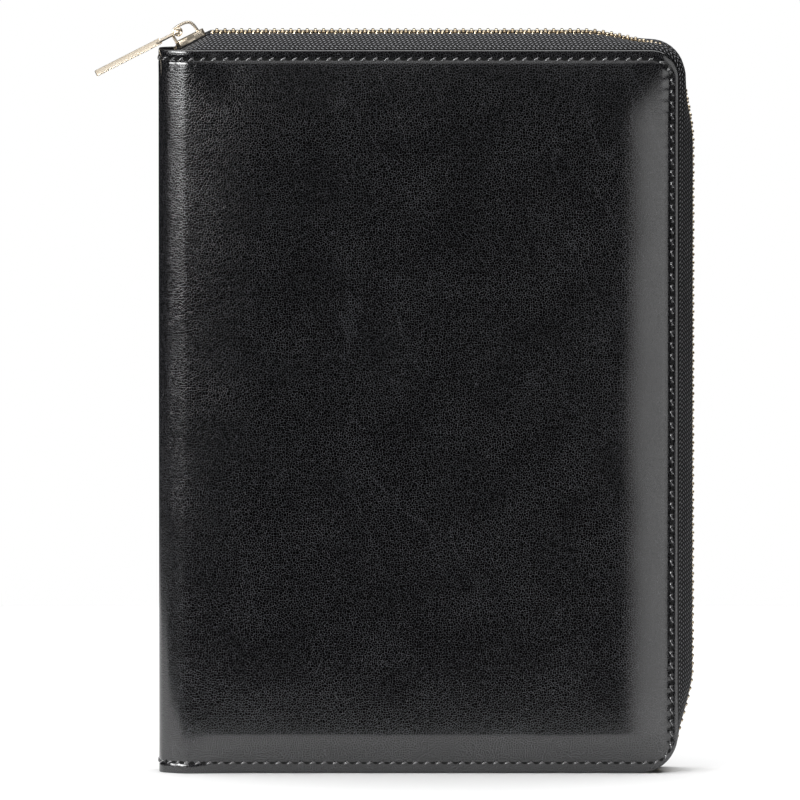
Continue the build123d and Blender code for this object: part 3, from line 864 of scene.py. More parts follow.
class Cover:
    """Leather of one cover with its half of the spine: padded, stitched and rolled at the edges.

    FAR is how far the seam's outline runs on to the left, APART the gap between the two covers on
    the flat pattern. Up to FINE_RUN from the spine the sheet has FINE_COLUMNS pattern lines. BEND
    gives two turns of the spine's rounding, in degrees, at which points are worked out but not used.
    """

    FAR = 400.0
    APART = 500.0
    FINE_RUN = 40.0
    FINE_COLUMNS = 60
    BEND = (78, 12)

    def __init__(self, side: Side, sizes: CoverSizes) -> None:
        self.side = side
        self.sizes = sizes
        self.flat_end = sizes.half_depth - sizes.spine_round
        self.arc_end = self.flat_end + sizes.spine_round * math.pi / 2
        self.length = self.arc_end + sizes.width - sizes.spine_round

    def path(self, p: np.ndarray) -> tuple[np.ndarray, np.ndarray, np.ndarray, np.ndarray]:
        """Place on the outer face, at a run from the middle of the spine.

        Args:
            p: run along the sheet.
        Returns:
            x, y of the front cover, and the two parts of the inward direction.
        """
        r = self.sizes.spine_round
        turn = np.clip((p - self.flat_end) / r, 0, math.pi / 2)
        x = r - r * np.cos(turn) + np.maximum(p - self.arc_end, 0)
        y = -(np.minimum(p, self.flat_end) + r * np.sin(turn))
        return x, y, np.cos(turn), np.sin(turn)

    def seam(self, f: np.ndarray, z: np.ndarray) -> np.ndarray:
        """Distance to the stitch line, positive outside it.

        Args:
            f: x of the flat sheet, which runs on below zero over the spine.
            z: height.
        Returns:
            Signed distance.
        """
        s = self.sizes
        right, top = s.width - s.stitch_right, s.height - s.stitch_top
        half = np.array([(right + self.FAR) / 2, (top - s.stitch_low) / 2])
        middle = np.array([right - half[0], top - half[1]])
        qx = np.abs(f - middle[0]) - half[0] + s.stitch_radius
        qz = np.abs(z - middle[1]) - half[1] + s.stitch_radius
        outside = np.hypot(np.maximum(qx, 0), np.maximum(qz, 0))
        return outside + np.minimum(np.maximum(qx, qz), 0) - s.stitch_radius

    def sink(self, p: np.ndarray, z: np.ndarray) -> np.ndarray:
        """How far the outer face lies below the crown.

        Args:
            p: run along the sheet.
            z: height.
        Returns:
            Depth in mm.
        """
        s = self.sizes
        f = p - self.arc_end + s.spine_round
        ends = smooth((f - s.spine_round) / s.flare)
        right = pillow((s.width - f - s.margin) / s.right_slope)
        top = pillow((s.height - z - s.margin) / s.top_slope) * ends
        low = pillow((z - s.margin) / s.low_slope) * ends
        dip = s.rise * (1 - (1 - right) * (1 - top) * (1 - low))
        dip = dip + s.fall * np.maximum(np.maximum(s.fall_reach - (s.width - f), (s.fall_reach - z) * ends), 0)
        slope = (1 - np.clip(f / s.shoulder_reach, 0, 1)) ** 2
        dip = dip + s.shoulder * slope * smooth((f + s.shoulder_back) / s.shoulder_blend)
        away = self.seam(f, z)
        groove = s.groove * np.exp(-((away / s.groove_half) ** 2))
        upright = (s.width - f) < np.minimum(z, s.height - z)
        beat = np.cos(math.tau * np.where(upright, z, f) / s.stitch_pitch)
        pucker = s.pucker * np.exp(-(((away + s.pucker_in) / s.pucker_reach) ** 2)) * beat
        return dip + groove + pucker + self.sag(f, z)

    def sag(self, f: np.ndarray, z: np.ndarray) -> np.ndarray:
        """Soft unevenness of the padding, small at the edges.

        Args:
            f: x of the flat sheet.
            z: height.
        Returns:
            Depth in mm.
        """
        s, seed = self.sizes, 3.1 * self.side.value
        flat = np.array([noise.noise(Vector((a / s.sag_wide, b / s.sag_wide, seed)))
                         + 0.5 * noise.noise(Vector((a / s.sag_fine, b / s.sag_fine, 7.7)))
                         for a, b in zip(f.ravel(), z.ravel())]).reshape(f.shape)
        inside = smooth(np.minimum(np.minimum(z, s.height - z), s.width - f) / s.sag_edge)
        return s.sag * flat * inside * smooth((f + 2) / 12)

    def at(self, p: np.ndarray, z: np.ndarray, depth: np.ndarray | float = 0.0) -> np.ndarray:
        """Points of the sheet.

        Args:
            p: run from the middle of the spine.
            z: height.
            depth: distance below the outer face.
        Returns:
            Case coordinates.
        """
        x, y, inx, iny = self.path(p)
        deep = self.sink(p, z) + depth
        return np.stack([x + inx * deep, -self.side.value * (y + iny * deep), z], axis=-1)

    def build(self, leather: bpy.types.Material) -> bpy.types.Object:
        """The wrapped sheet with its padded crown.

        Args:
            leather: finish of the outer skin.
        Returns:
            The object.
        """
        s = self.sizes
        sheet = Sheet(self.length, s.height, s.leather, s.corner, 0.0, rolled_left=False, low_radius=s.low_corner,
                      rim=36.0, fine=0.55, coarse=2.6)
        usual = sheet.lines(self.length, False)
        near = np.linspace(0, self.FINE_RUN, self.FINE_COLUMNS)[:-1]
        a, b, depth = sheet.pattern(np.concatenate([near, usual[usual >= self.FINE_RUN]]))
        points = self.at(a, b, depth).reshape(-1, 3)
        flat = np.stack([a.ravel() + (0 if self.side is Side.FRONT else self.APART), b.ravel()], axis=-1)
        faces = grid_faces(*a.shape, flip=self.side is Side.BACK)
        made = make_object(f"{self.side.tag}_wrap", points, faces, leather, flat)
        r, ends = s.spine_round, []
        for turn in map(math.radians, self.BEND):
            place = (r - r * math.cos(turn), self.side.value * (self.flat_end + r * math.sin(turn)), s.height / 2)
            ends.append(tuple(world(np.array(place))))
        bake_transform(made)
        nodes = [f"{self.side.tag}_leather", f"{self.side.tag}_foam"]
        if self.side is Side.BACK:
            nodes.append("spine_leather")
        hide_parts(*nodes)
        return made

    def stitch_line(self, first: float) -> tuple[np.ndarray, np.ndarray]:
        """Places of the stitches, or of the holes between them, on the flat sheet.

        Args:
            first: run of the first one, as a share of the pitch.
        Returns:
            Run from the middle of the spine, and height, of each stitch.
        """
        s = self.sizes
        right, top, low, r = s.width - s.stitch_right, s.height - s.stitch_top, s.stitch_low, s.stitch_radius
        begin = s.spine_round - self.arc_end
        quarter = np.linspace(0, math.pi / 2, 12)
        line = [(begin, top), (right - r, top)]
        line += [(right - r + r * math.sin(t), top - r + r * math.cos(t)) for t in quarter]
        line += [(right - r + r * math.cos(t), low + r - r * math.sin(t)) for t in quarter]
        line = np.array(line + [(begin, low)])
        steps = np.arange(first * s.stitch_pitch, run_lengths(line)[-1], s.stitch_pitch)
        f, z = along_line(line, steps).T
        return f - s.spine_round + self.arc_end, z

    def row(self, first: float, lift: float) -> dict[str, tuple[np.ndarray, np.ndarray, np.ndarray]]:
        """A row along the stitch line, by the body that it rides on.

        Args:
            first: run of the first piece, as a share of the pitch.
            lift: height above the leather.
        Returns:
            Points, outward and along directions for each body.
        """
        p, z = self.stitch_line(first)
        points = self.at(p, z, -lift)
        along = np.gradient(points, axis=0)
        _, _, inx, iny = self.path(p)
        outward = np.stack([-inx, self.side.value * iny, np.zeros_like(p)], axis=-1)
        on_spine = p < self.flat_end + self.sizes.spine_round * math.pi / 4
        rows = {}
        for body, mask in ((self.side.body, ~on_spine), ("spine", on_spine)):
            rows[body] = (points[mask], outward[mask], unit(along[mask]))
        LOG.info("%s cover: %d places along the seam", self.side.tag, len(p))
        return rows


@dataclass(frozen=True)
class ZipSizes:
    """Sizes of the chain and its tapes, in mm.

    They are the CAD's but for the rise and lean of the chain, the bulge and the lower corner,
    which follow the photograph. An end level is the tape's distance from the middle plane where
    it narrows towards the spine.
    """

    start: float = 17.2
    top_rise: float = 5.0
    side_rise: float = 4.0
    sink: float = 2.0
    dip: float = 3.9
    dip_reach: float = 30.0
    sink_before: float = 22.0
    sink_after: float = 10.0
    flange: float = 5.0
    outer: float = 11.0
    flat: float = 5.4
    edge: float = 1.6
    thickness: float = 0.6
    pitch: float = 2.72
    slider_x: float = 11.5
    slider_rise: float = 2.2
    tilt: float = 27.0
    fold_x: float = 5.4
    tail_x: float = 3.3
    top_lean: float = 5.0
    side_lean: float = -4.0
    side_cover: float = 0.1
    bulge: float = 1.7
    fold_level: float = 9.4
    end_level: float = 5.6
    end_reach: float = 3.6
    end_edge: float = 5.0
    edge_gap: float = 0.5
    end_run: float = 3.875
    step: float = 1.5
    clear: float = 0.04
    bow: tuple[float, float] = (0.2, 0.3)
    nose: float = 0.15
    tail_middle: float = 3.4


@dataclass(frozen=True)
class TapeStop:
    """What shapes a tape's section at one place along the edge, in mm.

    Point and way are the place and its outward direction. The edge rises beyond the cover, the
    bend and the toothed edge lie some way from the middle plane, and the slack tape may bulge
    out between the cover and the teeth, or its bend stand above the chain to cover it.
    """

    point: np.ndarray
    way: np.ndarray
    run: float
    rise: float
    level: float
    toothed: float
    lean: float = 0.0
    bulge: float = 0.0
    cover: float = 0.0


class Zipper:
    """Tapes, teeth and tape ends of the zip; the slider is dressed apart."""

    def __init__(self, cover: CoverSizes, sizes: ZipSizes) -> None:
        self.cover = cover
        self.sizes = sizes
        self.top_run = cover.width - cover.corner - sizes.start
        self.turn_run = cover.corner * math.pi / 2
        self.side_run = cover.height - cover.corner - cover.low_corner
        self.low_turn = cover.low_corner * math.pi / 2
        self.upper_bend = self.top_run + self.turn_run / 2
        self.lower_bend = self.top_run + self.turn_run + self.side_run
        self.run = self.lower_bend + self.low_turn + cover.width - cover.low_corner - sizes.start

    def edge(self, s: float) -> tuple[np.ndarray, np.ndarray]:
        """Point of the cover's edge and its outward direction.

        Args:
            s: run from the top end of the chain.
        Returns:
            The two vectors in the x, z plane.
        """
        c = self.cover
        right = c.width - c.corner
        if s <= self.top_run:
            return np.array([self.sizes.start + s, c.height]), np.array([0.0, 1.0])
        if s < self.top_run + self.turn_run:
            angle = math.pi / 2 - (s - self.top_run) / c.corner
            way = np.array([math.cos(angle), math.sin(angle)])
            return np.array([right, c.height - c.corner]) + c.corner * way, way
        if s <= self.lower_bend:
            return np.array([c.width, c.height - c.corner - (s - self.top_run - self.turn_run)]), np.array([1.0, 0.0])
        right = c.width - c.low_corner
        if s < self.lower_bend + self.low_turn:
            angle = -(s - self.lower_bend) / c.low_corner
            way = np.array([math.cos(angle), math.sin(angle)])
            return np.array([right, c.low_corner]) + c.low_corner * way, way
        return np.array([right - (s - self.lower_bend - self.low_turn), 0.0]), np.array([0.0, -1.0])

    def rise(self, s: float) -> float:
        """How far the chain stands beyond the edge.

        Args:
            s: run from the top end.
        Returns:
            Distance in mm.
        """
        z = self.sizes
        level = z.top_rise + (z.side_rise - z.top_rise) * self.side_share(s)
        past = (s - self.lower_bend + z.sink_before) / (z.sink_before + z.sink_after)
        sink = (z.side_rise + z.sink) * float(smooth(past))
        return level - z.dip * self.dipped(s) - sink

    def side_share(self, s: float) -> float:
        """0 along the top edge and 1 along the side, with a soft change at the upper corner."""
        reach = self.sizes.dip_reach
        return float(smooth((s - self.upper_bend + reach) / (2 * reach)))

    def dipped(self, s: float) -> float:
        """Share of the dip at the upper corner, 1 at its middle."""
        return (1 + math.cos(math.pi * min(abs(s - self.upper_bend) / self.sizes.dip_reach, 1))) / 2

    def lean(self, s: float) -> float:
        """Turn of the chain about its own line, to the front where positive, in radians."""
        z = self.sizes
        return math.radians(z.top_lean + (z.side_lean - z.top_lean) * self.side_share(s))

    def chain(self, s: float) -> np.ndarray:
        """Point of the chain's middle line in the x, z plane."""
        point, way = self.edge(s)
        return point + way * self.rise(s)

    def ramp(self, x: float) -> float:
        """Height of the sloping end of the chain above the top edge."""
        z = self.sizes
        return min(z.slider_rise + (x - z.slider_x) * math.tan(math.radians(z.tilt)), z.top_rise)

    def profile(self, stop: TapeStop, shear: float) -> np.ndarray:
        """Section of the tape: flange, soft slope, edge, and back along the inside.

        Args:
            stop: what shapes it.
            shear: rise of the tape for each mm from the middle plane.
        Returns:
            Rows of outward distance and level.
        """
        z = self.sizes
        h, skin = z.thickness / 2, z.outer - z.clear
        bend = stop.rise + h + shear * stop.level + stop.cover
        rows = [(-z.flange, skin), (-1.0, skin)]
        for t in np.linspace(0.06, 1.0, 9):
            bow = math.sin(math.pi * t)
            level = z.outer + (stop.level - z.outer) * t
            rows.append((bend * t + (z.bow[0] + stop.bulge) * bow, level + z.bow[1] * bow))
        inner = np.array(rows[1:]) - np.array((z.thickness, 0.25 * z.thickness))
        edge, nose = stop.rise + shear * stop.toothed, stop.toothed + z.nose
        rows += [(edge + h, nose), (edge, stop.toothed), (edge - h, nose)]
        rows += [tuple(row) for row in inner[::-1]]
        rows += [(-z.flange, z.outer - z.thickness)]
        return np.array(rows)

    def stops(self) -> list[TapeStop]:
        """Sections of a tape from the spine's top corner round three sides to its bottom corner.

        Returns:
            What shapes each section, in order.
        """
        z, c = self.sizes, self.cover
        up, down = np.array([0.0, 1.0]), np.array([0.0, -1.0])
        least = (z.outer - z.fold_level) / (z.outer - z.flat)
        stops = []
        for x in np.linspace(z.fold_x, z.start, 9)[:-1]:
            t = min((x - z.fold_x) / z.end_reach, 1.0)
            level = z.fold_level + (z.end_level - z.fold_level) * t
            share = least + (1 - least) * t
            stops.append(TapeStop(np.array([x, c.height]), up, x, self.ramp(x) * share, level,
                                  max(level - z.edge_gap, z.end_edge), self.lean(0) * share))
        for s in np.concatenate([np.arange(0, self.run, z.step), [self.run]]):
            cover = z.side_cover * float(smooth((s - self.upper_bend) / z.dip_reach))
            stops.append(TapeStop(*self.edge(s), z.start + s, self.rise(s), z.flat, z.edge, self.lean(s),
                                  z.bulge * self.dipped(s), cover))
        for x in np.linspace(z.start, z.fold_x, 6)[1:]:
            fold = float(smooth((z.fold_x + z.end_reach - x) / z.end_reach))
            level = z.end_level + (z.fold_level - z.end_level) * fold
            stops.append(TapeStop(np.array([x, 0.0]), down, z.start + self.run + z.start - x, -z.sink, level,
                                  z.end_edge))
        return stops

    def tape(self, side: Side, material: bpy.types.Material) -> bpy.types.Object:
        """One tape, round three sides of its cover.

        Args:
            side: cover that it is sewn to.
            material: finish of the tape.
        Returns:
            The object.
        """
        stops = self.stops()
        points, flat = [], []
        for stop in stops:
            rows = self.profile(stop, side.value * math.tan(stop.lean))
            for (n, q), v in zip(rows, run_lengths(rows)):
                x, z = stop.point + stop.way * n
                points.append((x, side.value * q, z))
                flat.append((stop.run, v))
        faces = grid_faces(len(stops), len(points) // len(stops), flip=side is Side.FRONT, closed=True)
        made = make_object(f"zip_tape_{side.tag}", np.array(points), faces, material, np.array(flat))
        dress(made, side.body, f"zipper_tape_{side.tag}")
        return made

    def tooth_places(self) -> tuple[np.ndarray, np.ndarray, np.ndarray, np.ndarray]:
        """Places of all teeth along the chain, half a pitch apart.

        Returns:
            Points, outward and along directions, and whether a tooth is on the front tape.
        """
        fine = np.arange(0, self.run, 0.1)
        line = np.array([self.chain(s) for s in fine])
        runs = run_lengths(line)
        steps = np.arange(self.sizes.pitch / 4, runs[-1], self.sizes.pitch / 2)
        xz = along_line(line, steps)
        ahead = unit(along_line(line, steps + 0.2) - along_line(line, steps - 0.2))
        zero = np.zeros(len(steps))
        points = np.stack([xz[:, 0], zero, xz[:, 1]], axis=-1)
        along = np.stack([ahead[:, 0], zero, ahead[:, 1]], axis=-1)
        turn = np.interp(steps, runs, [self.lean(s) for s in fine])
        outward = np.stack([-ahead[:, 1] * np.cos(turn), -np.sin(turn), ahead[:, 0] * np.cos(turn)], axis=-1)
        return points, outward, along, np.arange(len(steps)) % 2 == 0

    def teeth(self, scatter: Scatter, material: bpy.types.Material) -> None:
        """Both rows of teeth, and the few on the tape ends.

        Args:
            scatter: tree that sets them.
            material: finish of the metal.
        """
        z, c = self.sizes, self.cover
        points, outward, along, front = self.tooth_places()
        level, climb = math.cos(math.radians(z.tilt)), math.sin(math.radians(z.tilt))
        for k, side in enumerate(Side):
            shape = small_piece(f"tooth_{side.tag}", tooth_shape(side))
            mask = front if side is Side.FRONT else ~front
            row = scatter.place(f"zip_teeth_{side.tag}", points[mask], outward[mask], along[mask], shape, material)
            dress(row, side.body, f"zipper_teeth_{side.tag}")
            ends = []
            for index in range(2):
                run = z.end_run - (index + k / 2) * z.pitch
                place = (z.slider_x + run * level, 0, c.height + z.slider_rise + run * climb)
                ends.append((place, (-climb, 0, level), (level, 0, climb)))
                ends.append(((z.slider_x + run, 0, z.sink), (0, 0, -1), (-1, 0, 0)))
            places = [np.array(rows, float) for rows in zip(*ends)]
            end = scatter.place(f"zip_end_teeth_{side.tag}", *places, shape, material)
            dress(end, "spine", "zipper_tail_teeth")
            LOG.info("%s teeth: %d", side.tag, mask.sum())

    def tail(self, name: str, line: list, material: bpy.types.Material) -> dict[Side, bpy.types.Object]:
        """The two ends of the tapes at one end of the zip, sewn to the spine lining.

        Args:
            name: CAD node that they stand for.
            line: points of the band in the x, z plane.
            material: finish of the tape.
        Returns:
            The end of each tape.
        """
        z = self.sizes
        line = np.array(line, float)
        steps = np.linspace(0, run_lengths(line)[-1], 40)
        xz = along_line(line, steps)
        for _ in range(2):
            xz[1:-1] = (xz[:-2] + 2 * xz[1:-1] + xz[2:]) / 4
        way = unit(np.gradient(xz, axis=0))
        up = np.stack([-way[:, 1], way[:, 0]], axis=-1)
        h, far, middle = z.thickness / 2, z.flat - 0.3, z.tail_middle
        section = [(z.edge + 0.1, -h), (z.edge, 0), (z.edge + 0.1, h), (middle, h),
                   (far, h), (far + 0.1, 0), (far, -h), (middle, -h)]
        flat = np.array([(step, q) for step in steps for q, _ in section])
        ends = {}
        for side in Side:
            points = [(x + ux * w, side.value * q, y + uy * w) for (x, y), (ux, uy) in zip(xz, up) for q, w in section]
            faces = grid_faces(len(steps), len(section), flip=side is Side.BACK, closed=True)
            ends[side] = make_object(f"{name}_{side.tag}", np.array(points), faces, material, flat)
            dress(ends[side], "spine", name)
        return ends

    def build(self, scatter: Scatter) -> None:
        """Everything of the zip but the slider.

        Args:
            scatter: tree that sets the teeth.
        """
        z, c = self.sizes, self.cover
        cloth = TAPE.material()
        metal = TEETH.material()
        ramp_top = z.slider_x + (z.top_rise - z.slider_rise) / math.tan(math.radians(z.tilt))
        h, fold = c.height, c.height + self.ramp(z.fold_x)
        top = self.tail("zipper_tail_top", [(z.start - 0.2, h + z.top_rise), (ramp_top, h + z.top_rise),
                                            (z.fold_x, fold), (z.tail_x, fold - 3), (z.tail_x, h - 18)], cloth)
        low = self.tail("zipper_tail_bottom", [(z.start - 0.2, z.sink), (z.fold_x + 2, z.sink), (z.tail_x, 6),
                                               (z.tail_x, 20)], cloth)
        for side in Side:
            made = self.tape(side, cloth)
        self.teeth(scatter, metal)
        repaint("zipper_end_stops", metal)


@dataclass(frozen=True)
class SliderSizes:
    """Sizes of the slider's metal in mm, in its own frame: u along the chain, w outwards."""

    place: tuple[float, float] = (11.5, 242.2)
    tilt: float = 27.0
    arch: tuple = ((-5.05, 2.3), (-5.2, 5.6), (-3.4, 6.85), (0.9, 6.95), (2.5, 5.6), (2.95, 2.3))
    arch_half: float = 1.1
    arch_wall: float = 0.5
    pin: tuple[float, float] = (-3.0, 5.2)
    eye: float = 1.0
    rod: float = 0.46
    rod_out: float = 2.34
    rivet: float = -10.8
    bar_start: float = -9.4
    bar_end: float = -33.6
    bar_half: float = 1.8
    bar_low: float = 1.0
    bar_bevel: tuple[float, float] = (0.56, 0.3)
    bar_tip: float = 0.25
    bar_tip_share: float = 0.86
    rivet_radius: float = 0.5


class Slider:
    """Slider, bridge and pull: bent and cast metal with the edges rounded as plating leaves them."""

    EDGES = {"slider_body": ("slider", 0.34), "pull_pin": ("pull_pin", 0.12)}

    def __init__(self, sizes: SliderSizes) -> None:
        self.sizes = sizes

    def case(self, u: float, w: float, y: float) -> tuple[float, float, float]:
        """A point of the slider's own frame, at level y, in case coordinates."""
        tilt = math.radians(self.sizes.tilt)
        x, z = self.sizes.place
        return x + u * math.cos(tilt) - w * math.sin(tilt), y, z + u * math.sin(tilt) + w * math.cos(tilt)

    def swept(self, line: list, section: list) -> tuple[np.ndarray, list]:
        """A closed section led along a line in the u, w plane.

        Args:
            line: points of the line.
            section: level y, and height across the line, of each corner of the section.
        Returns:
            Case coordinates and faces.
        """
        line = np.array(line, float)
        way = unit(np.gradient(line, axis=0))
        points = [self.case(u - dw * n, w + du * n, y) for (u, w), (du, dw) in zip(line, way) for y, n in section]
        return np.array(points), grid_faces(len(line), len(section), closed=True)

    def arch(self) -> tuple[np.ndarray, list]:
        """The bridge: a strip bent into a smooth arch over the slider."""
        s = self.sizes
        line = np.array(s.arch)
        for _ in range(3):
            one, two = line[:-1], line[1:]
            cut = np.stack([0.75 * one + 0.25 * two, 0.25 * one + 0.75 * two], axis=1).reshape(-1, 2)
            line = np.concatenate([line[:1], cut, line[-1:]])
        turns = [math.tau * k / 12 for k in range(12)]
        blunt = [[math.copysign(abs(v) ** 0.5, v) for v in (math.cos(t), math.sin(t))] for t in turns]
        return self.swept(line, [(s.arch_half * a, s.arch_wall * b) for a, b in blunt])

    def link(self) -> tuple[np.ndarray, list]:
        """Two rods with an eye round the pin, joined by the rivet through the bar."""
        s = self.sizes
        u, w = s.pin
        loop = [(u - s.eye * math.cos(t), w + s.eye * math.sin(t)) for t in np.linspace(0.35, math.tau - 0.2, 22)]
        rod = [(s.rivet, w)] + [(v, w) for v in np.linspace(s.rivet + 0.4, u - s.eye - 0.6, 8)] + loop
        turns = [math.tau * k / 8 for k in range(8)]
        parts = [self.swept(rod, [(side * s.rod_out + s.rod * math.cos(t), s.rod * math.sin(t)) for t in turns])
                 for side in (-1, 1)]
        reach, r = s.rod_out + s.rod, s.rivet_radius
        ring = [(s.rivet + r * math.cos(t), w + r * math.sin(t)) for t in np.linspace(0, math.tau, 13)[:-1]]
        rivet = np.array([self.case(a, b, y) for y in (-reach, reach) for a, b in ring])
        parts.append((rivet, grid_faces(2, len(ring), closed=True)))
        points, faces, count = [], [], 0
        for made, sides in parts:
            faces += [tuple(k + count for k in face) for face in sides]
            points.append(made)
            count += len(made)
        return np.concatenate(points), faces

    def bar(self) -> tuple[np.ndarray, list]:
        """The pull: a long slim bar with a broad bevel along each side."""
        s = self.sizes
        h, low, tip, less = s.bar_half, s.bar_low, s.bar_tip, s.bar_tip_share
        top, side = s.bar_bevel[0] * h, -s.bar_bevel[1] * low
        full = [(-h, -low), (h, -low), (h, side), (top, low), (-top, low), (-h, side)]
        rows = ((s.bar_end, less), (s.bar_end + tip, 1.0), (s.bar_start - tip, 1.0), (s.bar_start, less))
        points = [self.case(u, s.pin[1] + n * share, y * share) for u, share in rows for y, n in full]
        return np.array(points), grid_faces(len(rows), len(full), closed=True)

    def finish(self, made: bpy.types.Object, node: str, body: str) -> None:
        """Set the shading and say what the piece stands for.

        Args:
            made: metal piece.
            node: CAD node that it replaces.
            body: CAD body that it rides on.
        """
        shape = bmesh.new()
        shape.from_mesh(made.data)
        bmesh.ops.recalc_face_normals(shape, faces=shape.faces)
        shape.to_mesh(made.data)
        shape.free()
        made.data.polygons.foreach_set("use_smooth", [True] * len(made.data.polygons))
        made.data.set_sharp_from_angle(angle=math.radians(34))
        dress(made, body, node)

    def build(self) -> None:
        """Dress every metal piece of the slider."""
        gold = GOLD.material()
        made_here = (("slider_bridge", "slider", self.arch()), ("pull_link", "pull_link", self.link()),
                     ("pull_bar", "pull_bar", self.bar()))
        for node, body, (points, faces) in made_here:
            self.finish(make_object(node + "_plated", points, faces, gold), node, body)
        for node, (body, width) in self.EDGES.items():
            shape = bmesh.new()
            shape.from_mesh(frame["nodes"][node].data)
            bmesh.ops.remove_doubles(shape, verts=shape.verts, dist=1e-6)
            bmesh.ops.dissolve_limit(shape, angle_limit=math.radians(2), verts=shape.verts, edges=shape.edges)
            bmesh.ops.recalc_face_normals(shape, faces=shape.faces)
            sharp = [e for e in shape.edges if len(e.link_faces) == 2 and e.calc_face_angle(0) > math.radians(28)]
            bmesh.ops.bevel(shape, geom=sharp, offset=width * MM, segments=2, affect="EDGES", profile=0.6,
                            clamp_overlap=True)
            bmesh.ops.triangulate(shape, faces=[f for f in shape.faces if len(f.verts) > 4])
            mesh = bpy.data.meshes.new(node + "_plated")
            shape.to_mesh(mesh)
            shape.free()
            mesh.materials.append(gold)
            self.finish(link_object(node + "_plated", mesh), node, body)


@dataclass(frozen=True)
class Panel:
    """A soft flat piece inside the case: a pocket or a lining, sizes in mm."""

    name: str
    node: str
    body: str
    slot: str
    origin: tuple[float, float, float]
    across: tuple[float, float, float]
    outward: tuple[float, float, float]
    width: float
    height: float
    thickness: float
    right_radius: float = 2.0
    left_radius: float = 2.0
    bulge: float = 0.0
    sewn: bool = False
    low_radius: float | None = None

    SOFT = 14.0
    INSET = 1.9

    def at(self, a: np.ndarray, b: np.ndarray, depth: np.ndarray) -> np.ndarray:
        """Points of the piece.

        Args:
            a: distance from its left edge.
            b: height above its lower edge.
            depth: distance below its outer face.
        Returns:
            Case coordinates.
        """
        edge = np.minimum(a, self.width - a)
        swell = self.bulge * smooth(edge / self.SOFT) * smooth(b / self.SOFT)
        away = np.minimum(edge, b) - self.INSET
        groove = 0.12 * np.exp(-((away / 0.45) ** 2)) if self.sewn else 0.0
        out = (swell - depth - groove)[..., None] * np.array(self.outward)
        up = b[..., None] * np.array((0, 0, 1.0))
        return np.array(self.origin) + a[..., None] * np.array(self.across) + up + out

    def build(self, material: bpy.types.Material) -> bpy.types.Object:
        """Make the piece.

        Args:
            material: finish.
        Returns:
            The object.
        """
        sheet = Sheet(self.width, self.height, self.thickness, self.right_radius, self.left_radius,
                      low_radius=self.low_radius, rim=12.0, fine=1.2, coarse=6.0)
        a, b, depth = sheet.pattern()
        points = self.at(a, b, depth).reshape(-1, 3)
        natural = np.cross(self.across, (0, 0, 1.0)) @ np.array(self.outward)
        flat = np.stack([a.ravel(), b.ravel()], axis=-1)
        made = make_object(self.name, points, grid_faces(*a.shape, flip=natural < 0), material, flat)
        dress(made, self.body, self.node)
        return made

    def seam(self, pitch: float = 3.4) -> tuple[np.ndarray, np.ndarray, np.ndarray]:
        """Stitches along both sides and the foot.

        Args:
            pitch: length of a stitch.
        Returns:
            Points, outward and along directions.
        """
        left, right, top = self.INSET, self.width - self.INSET, self.height - 1.5
        line = np.array([(left, top), (left, self.INSET), (right, self.INSET), (right, top)])
        steps = np.arange(pitch / 2, run_lengths(line)[-1], pitch)
        a, b = along_line(line, steps).T
        points = self.at(a, b, np.full_like(a, -0.06))
        return points, np.tile(np.array(self.outward, float), (len(a), 1)), unit(np.gradient(points, axis=0))


